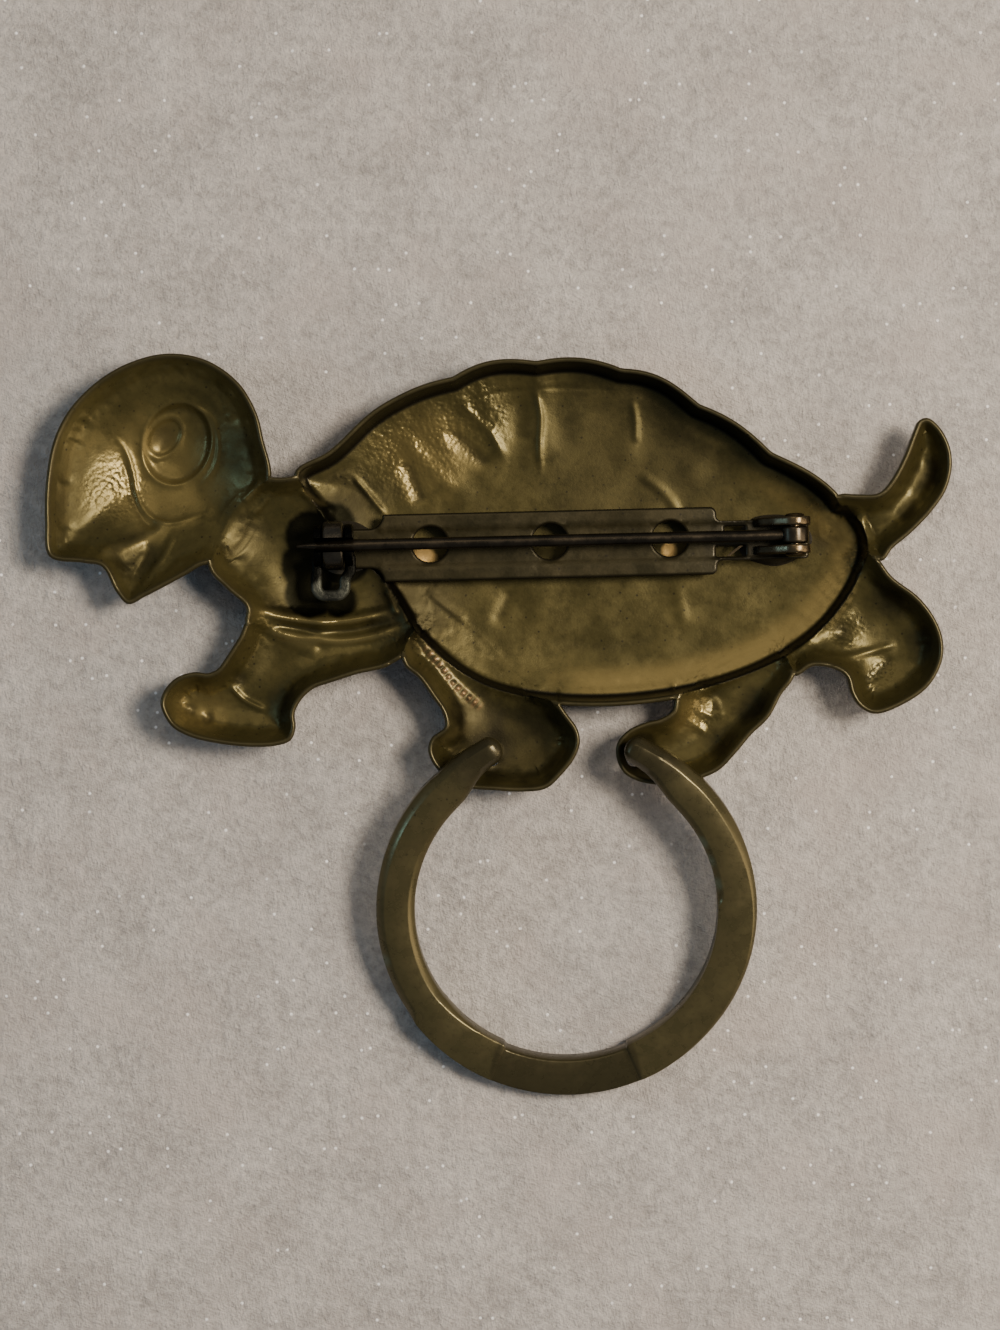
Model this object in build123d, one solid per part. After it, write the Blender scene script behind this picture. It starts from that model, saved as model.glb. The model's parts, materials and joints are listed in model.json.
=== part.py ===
from build123d import *

import os
from collections import namedtuple
from math import asin, atan2, cos, degrees, hypot, radians, sin

import numpy as np
from scipy.spatial import Delaunay

# Turtle brooch, lying face down: a hollow stamped turtle, a bar pin soldered in its back, and an open
# ring hooked through its two middle feet. +X points to the tail, +Y to the crest of the shell and
# +Z out of the hollow back. Every length is in millimetres, every angle in degrees.

# Stamped sheet
SHEET = 0.65            # thickness of the brass
SHELL_DEPTH = 3.95      # hollow of the shell, from the rim's plane down to its floor
HEAD_DEPTH = 3.4
NECK_DEPTH = 2.7
LEG_DEPTH = 2.4
TAIL_DEPTH = 1.9
WALL_RUN = 0.9          # distance over which the steep part of a side wall drops
WALL_SHARE = 0.42       # share of a hollow's depth that the steep part takes
RIM_EDGE = 0.4          # height of the cut edge round the rim

# Plan sizes of the shell and its limbs, each the length and height of the box round its outline
SHELL_LENGTH = 43.7
SHELL_HEIGHT = 26.4
HEAD_LENGTH = 16.5
HEAD_HEIGHT = 18.95
NECK_LENGTH = 16.75
NECK_HEIGHT = 15.25
FRONT_LEG_LENGTH = 17.6
FRONT_LEG_HEIGHT = 9.2
SECOND_LEG_LENGTH = 13.2
SECOND_LEG_HEIGHT = 9.5
THIRD_LEG_LENGTH = 13.3
THIRD_LEG_HEIGHT = 8.15
REAR_LEG_LENGTH = 11.55
REAR_LEG_HEIGHT = 10.05
TAIL_LENGTH = 8.1
TAIL_HEIGHT = 10.9
SCALLOP_LENGTH = 6.6    # one scallop of the shell's upper edge
SCALLOP_RISE = 0.36     # from its valleys to its crest
SCALLOPS = 5

# Relief
BORDER_RIDGE = 0.75     # ridge where the shell meets neck and legs
BORDER_WIDTH = 0.75
BORDER_INSET = 0.6      # the ridge runs this far inside the shell's outline
EYE_LENGTH = 5.5
EYE_HEIGHT = 5.9
EYE_DEPTH = 0.4

# Facets of the sheet
EDGE_STEP = 1.2         # spacing of the points along the rim
FLOOR_STEP = 1.55       # spacing of the points on the floor
NEAREST = 0.42          # points closer than this are left out

# Bar pin: a pierced plate with a folded hinge at one end and a rolled catch at the other
FINDING_TILT = 1.35     # the bar climbs by this towards the hinge
FINDING_MIDDLE_X = -1.45    # middle of the pin's span, from the middle of the shell
FINDING_Y = -1.1        # the catch, from the middle of the shell
PIN_HEIGHT = 4.3        # axis of the pin above the front
PIN_RADIUS = 0.45
PIN_SPAN = 34.9         # from the catch to the hinge rivet
PIN_TIP = 2.8           # the pin passes the catch by this
PIN_TAPER = 3.6
PIN_POINT_RADIUS = 0.1
PLATE_THICKNESS = 0.6
PLATE_TOP = 2.5         # upper face of the plate above the front
PLATE_WIDTH = 5.15
PLATE_ENDS = 9.5        # the plate's wide part is shorter than the pin's span by this
PLATE_START = 3.7       # from the catch to the plate's wide part
PLATE_DROP = 0.23       # the plate's middle lies this far below the pin
NECK_STRIP = 3.0        # width of the plate's narrow ends
SHOULDER = 1.05         # radius of the shoulders beside the narrow end
PLATE_HOLE_RADIUS = 1.36
PLATE_HOLE_SPACING = 9.13
PLATE_HOLES = 3
SOLDER_SINK = 0.3       # the solder reaches this deep into the sheet

# Hinge
EAR_THICKNESS = 0.65
EAR_RADIUS = 1.2
EAR_FOOT = 4.3          # length of the ears along the plate
RIVET_RADIUS = 0.45
RIVET_HEAD_RADIUS = 0.75
RIVET_HEAD = 0.25
EYE_RADIUS = 1.05
EYE_WIDTH = 1.3
RUNNING_GAP = 0.05      # round the rivet in the pin's eye, and round the catch's sleeve
SEAT_GAP = 0.02         # round the rivet in the ears
SIDE_GAP = 0.08         # beside the pin's eye and beside the sleeve's collars

# Catch
HOUSING_RADIUS = 1.85
HOUSING_LENGTH = 1.55
SLEEVE_RADIUS = 1.15
SLEEVE_BORE = 0.75
COLLAR_RADIUS = 1.6
COLLAR_LENGTH = 0.65
CATCH_SLOT = 1.3        # the mouth through which the pin lifts out
LEVER_REACH = 4.1       # from the catch's axis to the end of its thumb lever
LEVER_BAR = 0.7
LEVER_THICKNESS = 0.6

# Ring
RING_INNER_RADIUS = 11.45
RING_WIDTH = 2.97
RING_THICKNESS = 1.9
RING_BEVEL = 0.55
RING_FRONT_BEVEL = 0.25
RING_RECESS = 0.25      # the bottom stretch is let into the back by this
RING_RECESS_ANGLE = 23.5    # half of that stretch
RING_BEVEL_END = 36.5   # the bevels end this far below the ring's middle
RING_ROUND_END = 48.0   # the full ring ends this far above its middle
RING_REACH = 12.35      # from the pegs to the ring's middle
RING_SHIFT = 0.25       # the ring's middle lies this far to the tail's side of the pegs' middle
ROD_WIDTH = 2.1
ROD_THICKNESS = 1.5
ROD_RISE = 0.75         # gap that leaves the rods clear of the feet's rims
PEG_RADIUS = 0.55
PEG_STUB = 1.35         # turned-over end under the foot
PEG_STUB_RADIUS = 0.4
PEG_STUB_DROP = 0.65    # axis of that end below the foot's front face
SWING_AXIS_DROP = 1.4   # the ring swings about a line this far below the rim
SLOT_HALF_WIDTH = 0.8
SLOT_HALF_LENGTH = 1.32

RIM_Z = SHELL_DEPTH + SHEET

# Outlines: each row is a point as shares of the box's length from its left side and of its height from
# its lower side. Points past 0 or 1 lie inside the neighbour that the limb joins.
Share = namedtuple("Share", "along up")
OUTLINES = {
    "shell": [
        Share(0.00, 0.665), Share(0.06, 0.73), Share(0.14, 0.85), Share(0.235, 0.93),
        Share(0.33, 0.985), Share(0.46, 1.00), Share(0.60, 0.965), Share(0.71, 0.87),
        Share(0.85, 0.715), Share(0.953, 0.60), Share(1.00, 0.50), Share(0.99, 0.375),
        Share(0.925, 0.215), Share(0.815, 0.095), Share(0.655, 0.017), Share(0.47, 0.00),
        Share(0.32, 0.05), Share(0.21, 0.19), Share(0.155, 0.33), Share(0.06, 0.50),
    ],
    "head": [
        Share(0.02, 0.19), Share(0.00, 0.335), Share(0.005, 0.495), Share(0.04, 0.655),
        Share(0.11, 0.775), Share(0.24, 0.89), Share(0.39, 0.965), Share(0.56, 1.00),
        Share(0.735, 0.975), Share(0.885, 0.885), Share(0.97, 0.76), Share(1.00, 0.655),
        Share(1.035, 0.525), Share(0.995, 0.335), Share(0.87, 0.175), Share(0.72, 0.155),
        Share(0.64, 0.115), Share(0.455, 0.03), Share(0.38, 0.00), Share(0.325, 0.05),
        Share(0.26, 0.15), Share(0.175, 0.165),
    ],
    "neck": [
        Share(0.34, 0.965), Share(0.595, 1.00), Share(1.00, 0.655), Share(0.98, 0.21),
        Share(0.835, 0.045), Share(0.55, 0.00), Share(0.17, 0.235), Share(0.17, 0.32),
        Share(0.085, 0.41), Share(0.00, 0.52), Share(0.03, 0.80), Share(0.19, 0.96),
    ],
    "front_leg": [
        Share(1.00, 0.69), Share(0.83, 0.59), Share(0.735, 0.53), Share(0.655, 0.475),
        Share(0.60, 0.375), Share(0.575, 0.27), Share(0.58, 0.165), Share(0.56, 0.055),
        Share(0.50, 0.01), Share(0.385, 0.00), Share(0.255, 0.025), Share(0.13, 0.08),
        Share(0.05, 0.165), Share(0.01, 0.285), Share(0.00, 0.37), Share(0.02, 0.475),
        Share(0.075, 0.575), Share(0.15, 0.615), Share(0.205, 0.605), Share(0.245, 0.64),
        Share(0.285, 0.745), Share(0.34, 0.91), Share(0.38, 1.055), Share(0.685, 1.205),
        Share(1.03, 0.875),
    ],
    "second_leg": [
        Share(0.865, 0.73), Share(0.925, 0.62), Share(0.985, 0.50), Share(1.00, 0.395),
        Share(0.97, 0.27), Share(0.895, 0.135), Share(0.805, 0.025), Share(0.67, 0.00),
        Share(0.515, 0.01), Share(0.36, 0.03), Share(0.235, 0.11), Share(0.155, 0.23),
        Share(0.13, 0.335), Share(0.15, 0.43), Share(0.225, 0.515), Share(0.215, 0.62),
        Share(0.15, 0.76), Share(0.075, 0.905), Share(-0.01, 1.015), Share(0.145, 1.285),
        Share(0.715, 0.89),
    ],
    "third_leg": [
        Share(1.00, 1.00), Share(0.94, 0.87), Share(0.865, 0.65), Share(0.765, 0.49),
        Share(0.675, 0.315), Share(0.585, 0.165), Share(0.505, 0.10), Share(0.36, 0.02),
        Share(0.215, 0.03), Share(0.115, 0.065), Share(0.04, 0.14), Share(0.00, 0.28),
        Share(0.005, 0.415), Share(0.07, 0.535), Share(0.175, 0.61), Share(0.25, 0.64),
        Share(0.32, 0.72), Share(0.335, 0.835), Share(0.415, 1.045), Share(0.87, 1.23),
    ],
    "rear_leg": [
        Share(0.67, 1.03), Share(0.84, 0.88), Share(0.95, 0.715), Share(1.00, 0.555),
        Share(0.995, 0.40), Share(0.915, 0.22), Share(0.77, 0.09), Share(0.56, 0.00),
        Share(0.46, 0.05), Share(0.40, 0.15), Share(0.365, 0.28), Share(0.28, 0.34),
        Share(0.145, 0.355), Share(0.035, 0.285), Share(-0.065, 0.37), Share(0.065, 0.63),
        Share(0.55, 1.13),
    ],
    "tail": [
        Share(0.11, 0.47), Share(0.32, 0.48), Share(0.44, 0.575), Share(0.56, 0.745),
        Share(0.645, 0.91), Share(0.69, 0.98), Share(0.775, 1.00), Share(0.89, 0.93),
        Share(0.98, 0.80), Share(1.00, 0.665), Share(0.945, 0.50), Share(0.815, 0.355),
        Share(0.615, 0.20), Share(0.44, 0.09), Share(0.365, 0.00), Share(0.16, 0.10),
        Share(0.05, 0.325),
    ],
}

# Limbs: where each one grows from (a point of the neighbour's box and the same point in its own box),
# its size, the depth of its hollow, and the distance over which its floor curves down from the wall.
Limb = namedtuple("Limb", "name seat seat_along seat_up own_along own_up length height depth slope")
LIMBS = [
    Limb("shell", None, 0.0, 0.0, 0.5, 0.5, SHELL_LENGTH, SHELL_HEIGHT, SHELL_DEPTH, 11.0),
    Limb("neck", "shell", 0.183, 0.417, 0.865, 0.555, NECK_LENGTH, NECK_HEIGHT, NECK_DEPTH, 3.6),
    Limb("head", "neck", 0.144, 0.752, 0.894, 0.335, HEAD_LENGTH, HEAD_HEIGHT, HEAD_DEPTH, 5.5),
    Limb("front_leg", "neck", 0.685, 0.134, 0.858, 0.836,
         FRONT_LEG_LENGTH, FRONT_LEG_HEIGHT, LEG_DEPTH, 2.2),
    Limb("second_leg", "shell", 0.304, 0.074, 0.371, 0.889,
         SECOND_LEG_LENGTH, SECOND_LEG_HEIGHT, LEG_DEPTH, 2.6),
    Limb("third_leg", "shell", 0.770, 0.103, 0.700, 1.093,
         THIRD_LEG_LENGTH, THIRD_LEG_HEIGHT, LEG_DEPTH, 2.2),
    Limb("rear_leg", "shell", 0.952, 0.289, 0.360, 0.820,
         REAR_LEG_LENGTH, REAR_LEG_HEIGHT, LEG_DEPTH, 2.2),
    Limb("tail", "shell", 0.981, 0.503, 0.159, 0.222,
         TAIL_LENGTH, TAIL_HEIGHT, TAIL_DEPTH, 1.6),
]

# Raised strokes on the floor: from one share of a limb's box to another, with their half width and rise
Stroke = namedtuple("Stroke", "limb along up to_along to_up half_width rise")
STROKES = [
    Stroke("shell", 0.235, 0.84, 0.285, 0.64, 0.8, 0.30),
    Stroke("shell", 0.33, 0.89, 0.36, 0.74, 0.8, 0.30),
    Stroke("shell", 0.427, 0.92, 0.435, 0.75, 0.8, 0.30),
    Stroke("shell", 0.59, 0.88, 0.58, 0.73, 0.8, 0.28),
    Stroke("shell", 0.735, 0.79, 0.69, 0.67, 0.8, 0.26),
    Stroke("neck", 0.20, 0.29, 0.50, 0.24, 0.8, 0.40),
    Stroke("neck", 0.50, 0.24, 0.80, 0.29, 0.8, 0.40),
]


def limb_corners():
    """Lower left corner of each limb's box, with the middle of the shell at 0, 0."""
    corners = {}
    sizes = {limb.name: (limb.length, limb.height) for limb in LIMBS}
    for limb in LIMBS:
        seat_x, seat_y = 0.0, 0.0
        if limb.seat:
            corner, size = corners[limb.seat], sizes[limb.seat]
            seat_x = corner[0] + limb.seat_along * size[0]
            seat_y = corner[1] + limb.seat_up * size[1]
        corners[limb.name] = (seat_x - limb.own_along * limb.length, seat_y - limb.own_up * limb.height)
    return corners


CORNERS = limb_corners()
SIZES = {limb.name: (limb.length, limb.height) for limb in LIMBS}


def place(limb_name, along, up):
    """A point of a limb's box, given as shares, in millimetres."""
    corner, size = CORNERS[limb_name], SIZES[limb_name]
    return np.array([corner[0] + along * size[0], corner[1] + up * size[1]])


def smooth_loop(points, steps=12):
    """A closed curve through the points, eased by the distances between them."""
    count = len(points)
    curve = []
    for i in range(count):
        p = [points[(i + k - 1) % count] for k in range(4)]
        knots = [0.0]
        for a, b in zip(p, p[1:]):
            knots.append(knots[-1] + max(np.linalg.norm(b - a), 1e-6) ** 0.5)
        for t in np.linspace(knots[1], knots[2], steps, endpoint=False):
            level = list(p)
            for width in (1, 2, 3):
                joined = []
                for j in range(len(level) - 1):
                    low, high = (knots[j], knots[j + width])
                    if width == 3:
                        low, high = knots[1], knots[2]
                    share = (t - low) / (high - low)
                    joined.append(level[j] * (1 - share) + level[j + 1] * share)
                level = joined
            curve.append(level[0])
    return np.array(curve)


def even_loop(curve, step):
    """The closed curve again, as points at even distances close to the step."""
    closed = np.vstack([curve, curve[:1]])
    lengths = np.concatenate([[0.0], np.cumsum(np.linalg.norm(np.diff(closed, axis=0), axis=1))])
    count = max(8, round(lengths[-1] / step))
    at = np.linspace(0.0, lengths[-1], count, endpoint=False)
    return np.column_stack([np.interp(at, lengths, closed[:, k]) for k in (0, 1)])


def loop_normals(loop):
    """Unit normals to the right-hand side of a closed loop's own direction, turned inwards."""
    along = np.roll(loop, -1, axis=0) - np.roll(loop, 1, axis=0)
    normals = np.column_stack([along[:, 1], -along[:, 0]])
    normals /= np.linalg.norm(normals, axis=1)[:, None]
    following = np.roll(loop, -1, axis=0)
    area = np.sum(loop[:, 0] * following[:, 1] - following[:, 0] * loop[:, 1])
    return -normals if area > 0 else normals


def inside_distance(points, loop):
    """Distance from each point to the loop: positive inside it, negative outside."""
    start, end = loop, np.roll(loop, -1, axis=0)
    edge = end - start
    offset = points[:, None, :] - start[None]
    share = np.clip(np.sum(offset * edge, axis=2) / np.sum(edge * edge, axis=1), 0.0, 1.0)
    distance = np.linalg.norm(offset - share[..., None] * edge, axis=2).min(axis=1)
    above = start[None, :, 1] > points[:, None, 1]
    crosses = above != (end[None, :, 1] > points[:, None, 1])
    rise = np.where(edge[:, 1] == 0, 1.0, edge[:, 1])
    cut = start[:, 0] + (points[:, None, 1] - start[:, 1]) / rise * edge[:, 0]
    odd = np.sum(crosses & (points[:, None, 0] < cut), axis=1) % 2 == 1
    return np.where(odd, distance, -distance)


def scalloped(loop):
    """The shell's outline with scallops pressed into its upper edge, counted from the tail."""
    first = np.argmin(np.linalg.norm(loop - place("shell", 0.953, 0.60), axis=1))
    turned = np.roll(loop, -first, axis=0)
    if turned[1, 0] > turned[0, 0] or turned[1, 1] < turned[0, 1]:
        turned = np.roll(turned[::-1], 1, axis=0)
    steps = np.linalg.norm(np.diff(turned, axis=0), axis=1)
    travelled = np.concatenate([[0.0], np.cumsum(steps)])
    waves = np.abs(np.sin(np.pi * travelled / SCALLOP_LENGTH)) - 1.0
    waves[travelled > (SCALLOPS + 0.5) * SCALLOP_LENGTH] = 0.0
    return turned + loop_normals(turned) * (-SCALLOP_RISE * waves)[:, None]


def outline_loops():
    """The finished outline of every limb, as fine loops."""
    loops = {}
    for name, rows in OUTLINES.items():
        loops[name] = even_loop(smooth_loop([place(name, row.along, row.up) for row in rows]), 0.3)
    loops["shell"] = scalloped(loops["shell"])
    return loops


LOOPS = outline_loops()


def limb_distances(points):
    return {name: inside_distance(points, loop) for name, loop in LOOPS.items()}


def stroke_distance(points, stroke):
    start = place(stroke.limb, stroke.along, stroke.up)
    end = place(stroke.limb, stroke.to_along, stroke.to_up)
    line = end - start
    share = np.clip((points - start) @ line / (line @ line), 0.0, 1.0)
    return np.linalg.norm(points - start - share[:, None] * line, axis=1)


def hollow_depth(points, inward=0.0):
    """Depth of the hollow below the rim's plane at each point, or the depth further in from the wall."""
    distances = limb_distances(points)
    total = np.zeros(len(points))
    for limb in LIMBS:
        inside = np.clip(distances[limb.name] + inward - SHEET, 0.0, None)
        wall = np.clip(inside / WALL_RUN, 0.0, 1.0)
        dome = 1.0 - (1.0 - np.clip(inside / limb.slope, 0.0, 1.0)) ** 2
        total += (limb.depth * (WALL_SHARE * wall + (1 - WALL_SHARE) * dome)) ** 8
    depth = total ** (1 / 8)
    settled = np.clip(depth / 2.0, 0.0, 1.0)
    depth = depth - settled * BORDER_RIDGE * np.exp(-((distances["shell"] - BORDER_INSET) / BORDER_WIDTH) ** 2)
    for stroke in STROKES:
        depth -= settled * stroke.rise * np.exp(-(stroke_distance(points, stroke) / stroke.half_width) ** 2)
    eye = (points - place("head", 0.62, 0.625)) / np.array([EYE_LENGTH / 2, EYE_HEIGHT / 2])
    depth += settled * EYE_DEPTH * np.clip(1.4 * (1 - np.sum(eye * eye, axis=1)), 0.0, 1.0)
    return np.minimum(depth, SHELL_DEPTH)


def crossings(first, second):
    """The points in which two loops cross."""
    found = []
    edges = np.roll(second, -1, axis=0) - second
    for start, end in zip(first, np.roll(first, -1, axis=0)):
        edge = end - start
        offset = second - start
        turn = edge[0] * edges[:, 1] - edge[1] * edges[:, 0]
        turn = np.where(np.abs(turn) < 1e-12, 1e-12, turn)
        along = (offset[:, 0] * edges[:, 1] - offset[:, 1] * edges[:, 0]) / turn
        across = (offset[:, 0] * edge[1] - offset[:, 1] * edge[0]) / turn
        for share in along[(along >= 0) & (along < 1) & (across >= 0) & (across < 1)]:
            found.append(start + share * edge)
    return found


def rim_corners():
    """Where the outlines of two limbs meet on the rim."""
    names = list(LOOPS)
    corners = []
    for i, name in enumerate(names):
        for other in names[i + 1:]:
            for point in crossings(LOOPS[name], LOOPS[other]):
                distances = limb_distances(point[None])
                rest = [distances[n][0] for n in names if n not in (name, other)]
                if max(rest) < 0.02:
                    corners.append(point)
    return corners


def spread(chosen, candidates, least):
    """Adds the candidates that keep the least distance from all points chosen before them."""
    for point in candidates:
        if not len(chosen) or np.min(np.linalg.norm(np.array(chosen) - point, axis=1)) >= least:
            chosen.append(point)
    return chosen


def sheet_points():
    """Points of the sheet in plan: the rim, two rows inside it, the raised lines and the floor."""
    rim, rows, lines = rim_corners(), [[], []], []
    for name, loop in LOOPS.items():
        coarse = even_loop(loop, EDGE_STEP)
        others = [inside_distance(coarse, LOOPS[n]) for n in LOOPS if n != name]
        on_rim = np.max(others, axis=0) < 0.1
        rim = spread(rim, coarse[on_rim], NEAREST)
        normals = loop_normals(coarse)
        for row, inset in zip(rows, (SHEET, SHEET + WALL_RUN)):
            row.extend((coarse + normals * inset)[on_rim])
        if name == "shell":
            inner = coarse[np.max(others, axis=0) > 1.2]
            inner_normals = normals[np.max(others, axis=0) > 1.2]
            for side in (0.0, 1.2, -1.2):
                lines.extend(inner + inner_normals * (BORDER_INSET + side * BORDER_WIDTH))
    for stroke in STROKES:
        start = place(stroke.limb, stroke.along, stroke.up)
        end = place(stroke.limb, stroke.to_along, stroke.to_up)
        across = np.array([start[1] - end[1], end[0] - start[0]]) / np.linalg.norm(end - start)
        for share in np.linspace(0.0, 1.0, 4):
            for side in (0.0, 1.1, -1.1):
                lines.append(start + share * (end - start) + side * stroke.half_width * across)
    turns = np.radians(np.arange(0, 360, 30))
    eye = np.array([EYE_LENGTH / 2, EYE_HEIGHT / 2])
    for share in (1.0, 0.5):
        lines.extend(place("head", 0.62, 0.625) + share * eye * np.column_stack([np.cos(turns), np.sin(turns)]))
    points = list(rim)
    for row, inset in zip(rows, (SHEET, SHEET + WALL_RUN)):
        row = np.array(row)
        deep = np.max(list(limb_distances(row).values()), axis=0) > inset * 0.93
        points = spread(points, row[deep], NEAREST)
    lines = np.array(lines)
    deep = np.max(list(limb_distances(lines).values()), axis=0) > SHEET + WALL_RUN
    points = spread(points, lines[deep], 0.6)
    low = np.min([loop.min(axis=0) for loop in LOOPS.values()], axis=0)
    high = np.max([loop.max(axis=0) for loop in LOOPS.values()], axis=0)
    floor = []
    for j, y in enumerate(np.arange(low[1], high[1], FLOOR_STEP * 0.866)):
        start = low[0] + (j % 2) * FLOOR_STEP / 2
        floor.extend([x, y] for x in np.arange(start, high[0], FLOOR_STEP))
    floor = np.array(floor)
    deep = np.max(list(limb_distances(floor).values()), axis=0) > SHEET + WALL_RUN + 0.35 * FLOOR_STEP
    return np.array(spread(points, floor[deep], 0.62 * FLOOR_STEP)), len(rim)


def plan_facets(points):
    """Triangles between the points within the outline, and the edges along its rim."""
    triangles = Delaunay(points).simplices
    middles = points[triangles].mean(axis=1)
    triangles = triangles[np.max(list(limb_distances(middles).values()), axis=0) > 0.0]
    a, b, c = (points[triangles[:, k]] for k in range(3))
    turn = (b[:, 0] - a[:, 0]) * (c[:, 1] - a[:, 1]) - (b[:, 1] - a[:, 1]) * (c[:, 0] - a[:, 0])
    triangles[turn < 0] = triangles[turn < 0][:, ::-1]
    triangles = triangles[np.abs(turn) > 1e-6]
    edges = {edge for i, j, k in triangles for edge in ((i, j), (j, k), (k, i))}
    return triangles, sorted(edge for edge in edges if edge[::-1] not in edges)


def stamped_sheet():
    """The stamped turtle as a closed faceted solid: a hollow side, a front side and the rim's edge."""
    points, rim_count = sheet_points()
    triangles, border = plan_facets(points)
    ends = np.bincount(np.array(border)[:, 0], minlength=len(points))
    while ends.max() > 1:
        # a rim point that two stretches of the rim share would pinch the sheet, so it is left out
        pinched = np.nonzero(ends > 1)[0]
        points = np.delete(points, pinched, axis=0)
        rim_count -= np.sum(pinched < rim_count)
        triangles, border = plan_facets(points)
        ends = np.bincount(np.array(border)[:, 0], minlength=len(points))
    back = RIM_Z - hollow_depth(points)
    front = RIM_Z - SHEET - hollow_depth(points, inward=SHEET)
    front[:rim_count] = RIM_Z - RIM_EDGE
    upper = [Vector(*point, z) for point, z in zip(points, back)]
    lower = [Vector(*point, z) for point, z in zip(points, front)]
    faces = [(upper[i], upper[j], upper[k]) for i, j, k in triangles]
    faces += [(lower[k], lower[j], lower[i]) for i, j, k in triangles]
    for i, j in border:
        faces.append((upper[j], upper[i], lower[i]))
        faces.append((upper[j], lower[i], lower[j]))
    return Solid(Shell([Face(Wire.make_polygon(corners, close=True)) for corners in faces]))


def floor_height(x, y):
    return RIM_Z - hollow_depth(np.array([[x, y]]))[0]


# Bar pin: built along its own line from the catch at 0, 0 to the hinge, then turned and set in the shell
FINDING_X = FINDING_MIDDLE_X - PIN_SPAN / 2
FINDING = Pos(FINDING_X, FINDING_Y, 0) * Rot(0, 0, FINDING_TILT)
HINGE_GAP = EYE_WIDTH + 2 * SIDE_GAP
COLLAR_START = HOUSING_LENGTH / 2 + SIDE_GAP
PLATE_LENGTH = PIN_SPAN - PLATE_ENDS
PLATE_END = PLATE_START + PLATE_LENGTH
HINGE_END = PIN_SPAN + EAR_RADIUS


def block(x, y, z):
    """A box between the given pairs of low and high values."""
    size = (x[1] - x[0], y[1] - y[0], z[1] - z[0])
    middle = ((x[0] + x[1]) / 2, (y[0] + y[1]) / 2, (z[0] + z[1]) / 2)
    return Pos(*middle) * Box(*size)


def along_x(radius, start, end, y=0.0, z=PIN_HEIGHT):
    """A round bar along the pin's direction."""
    return Pos((start + end) / 2, y, z) * Rot(0, 90, 0) * Cylinder(radius, end - start)


def across(radius, x, start, end, z=PIN_HEIGHT):
    """A round bar across the pin's direction."""
    return Pos(x, (start + end) / 2, z) * Rot(90, 0, 0) * Cylinder(radius, end - start)


def plate():
    """The pierced plate with its narrow ends and rounded shoulders."""
    z = (PLATE_TOP - PLATE_THICKNESS, PLATE_TOP)
    wide = (-PLATE_DROP - PLATE_WIDTH / 2, -PLATE_DROP + PLATE_WIDTH / 2)
    narrow = (-PLATE_DROP - NECK_STRIP / 2, -PLATE_DROP + NECK_STRIP / 2)
    shape = block((PLATE_START, PLATE_END), wide, z) + block((-HOUSING_LENGTH / 2, HINGE_END), narrow, z)
    for y, side in ((narrow[0], -1), (narrow[1], 1)):
        near = (PLATE_START - SHOULDER, PLATE_START)
        fill = block(near, tuple(sorted((y, y + side * SHOULDER))), z)
        scoop = Pos(near[0], y + side * SHOULDER, PLATE_TOP) * Cylinder(SHOULDER, 4 * PLATE_THICKNESS)
        shape += fill - scoop
    first = PLATE_START + (PLATE_LENGTH - (PLATE_HOLES - 1) * PLATE_HOLE_SPACING) / 2
    for i in range(PLATE_HOLES):
        hole = Cylinder(PLATE_HOLE_RADIUS, 4 * PLATE_THICKNESS)
        shape -= Pos(first + i * PLATE_HOLE_SPACING, 0, PLATE_TOP) * hole
    return shape


def solder(start, end):
    """Solder under a narrow end of the plate, sunk a little into the sheet below it."""
    half = NECK_STRIP / 2
    corners = [(x, y) for x in (start, end) for y in (-half, half)]
    turn = radians(FINDING_TILT)
    floors = []
    for x, y in corners:
        world_x = FINDING_X + x * cos(turn) - y * sin(turn)
        world_y = FINDING_Y + x * sin(turn) + y * cos(turn)
        floors.append(floor_height(world_x, world_y))
    bottom = min(min(floors), PLATE_TOP - PLATE_THICKNESS) - SOLDER_SINK
    return block((start, end), (-half, half), (bottom, PLATE_TOP - PLATE_THICKNESS / 2))


def hinge_ears():
    """Two folded ears that hold the rivet, one at each side of the pin's eye."""
    ears = None
    foot = PLATE_TOP - PLATE_THICKNESS / 2
    for side in (-1, 1):
        y = sorted((side * HINGE_GAP / 2, side * (HINGE_GAP / 2 + EAR_THICKNESS)))
        start = HINGE_END - EAR_FOOT
        outline = Polyline(
            (start, foot), (HINGE_END, foot), (HINGE_END, PIN_HEIGHT),
            (PIN_SPAN, PIN_HEIGHT + EAR_RADIUS), (start + EAR_RADIUS, PIN_HEIGHT + 0.35 * EAR_RADIUS),
            (start, foot + PLATE_THICKNESS), close=True,
        )
        sheet = extrude(Plane.XZ * make_face(outline), amount=EAR_THICKNESS)
        ear = Pos(0, y[1], 0) * sheet + across(EAR_RADIUS, PIN_SPAN, y[0], y[1])
        ear -= across(RIVET_RADIUS + SEAT_GAP, PIN_SPAN, y[0] - 1, y[1] + 1)
        ears = ear if ears is None else ears + ear
    return ears


def catch_housing():
    """The rolled seat of the catch, open above."""
    half = HOUSING_LENGTH / 2
    foot = block((-half, half), (-HOUSING_RADIUS, HOUSING_RADIUS),
                 (PLATE_TOP - PLATE_THICKNESS, PIN_HEIGHT - SLEEVE_RADIUS))
    foot -= block((-half, half), (HOUSING_RADIUS * 0.75, HOUSING_RADIUS), (0, PIN_HEIGHT))
    foot -= block((-half, half), (-HOUSING_RADIUS, -HOUSING_RADIUS * 0.75), (0, PIN_HEIGHT))
    seat = along_x(HOUSING_RADIUS, -half, half) + foot
    seat -= along_x(SLEEVE_RADIUS + RUNNING_GAP, -half - 1, half + 1)
    mouth = block((-half - 1, half + 1), (-CATCH_SLOT / 2, CATCH_SLOT / 2), (PIN_HEIGHT, 3 * PIN_HEIGHT))
    return seat - mouth


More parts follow.
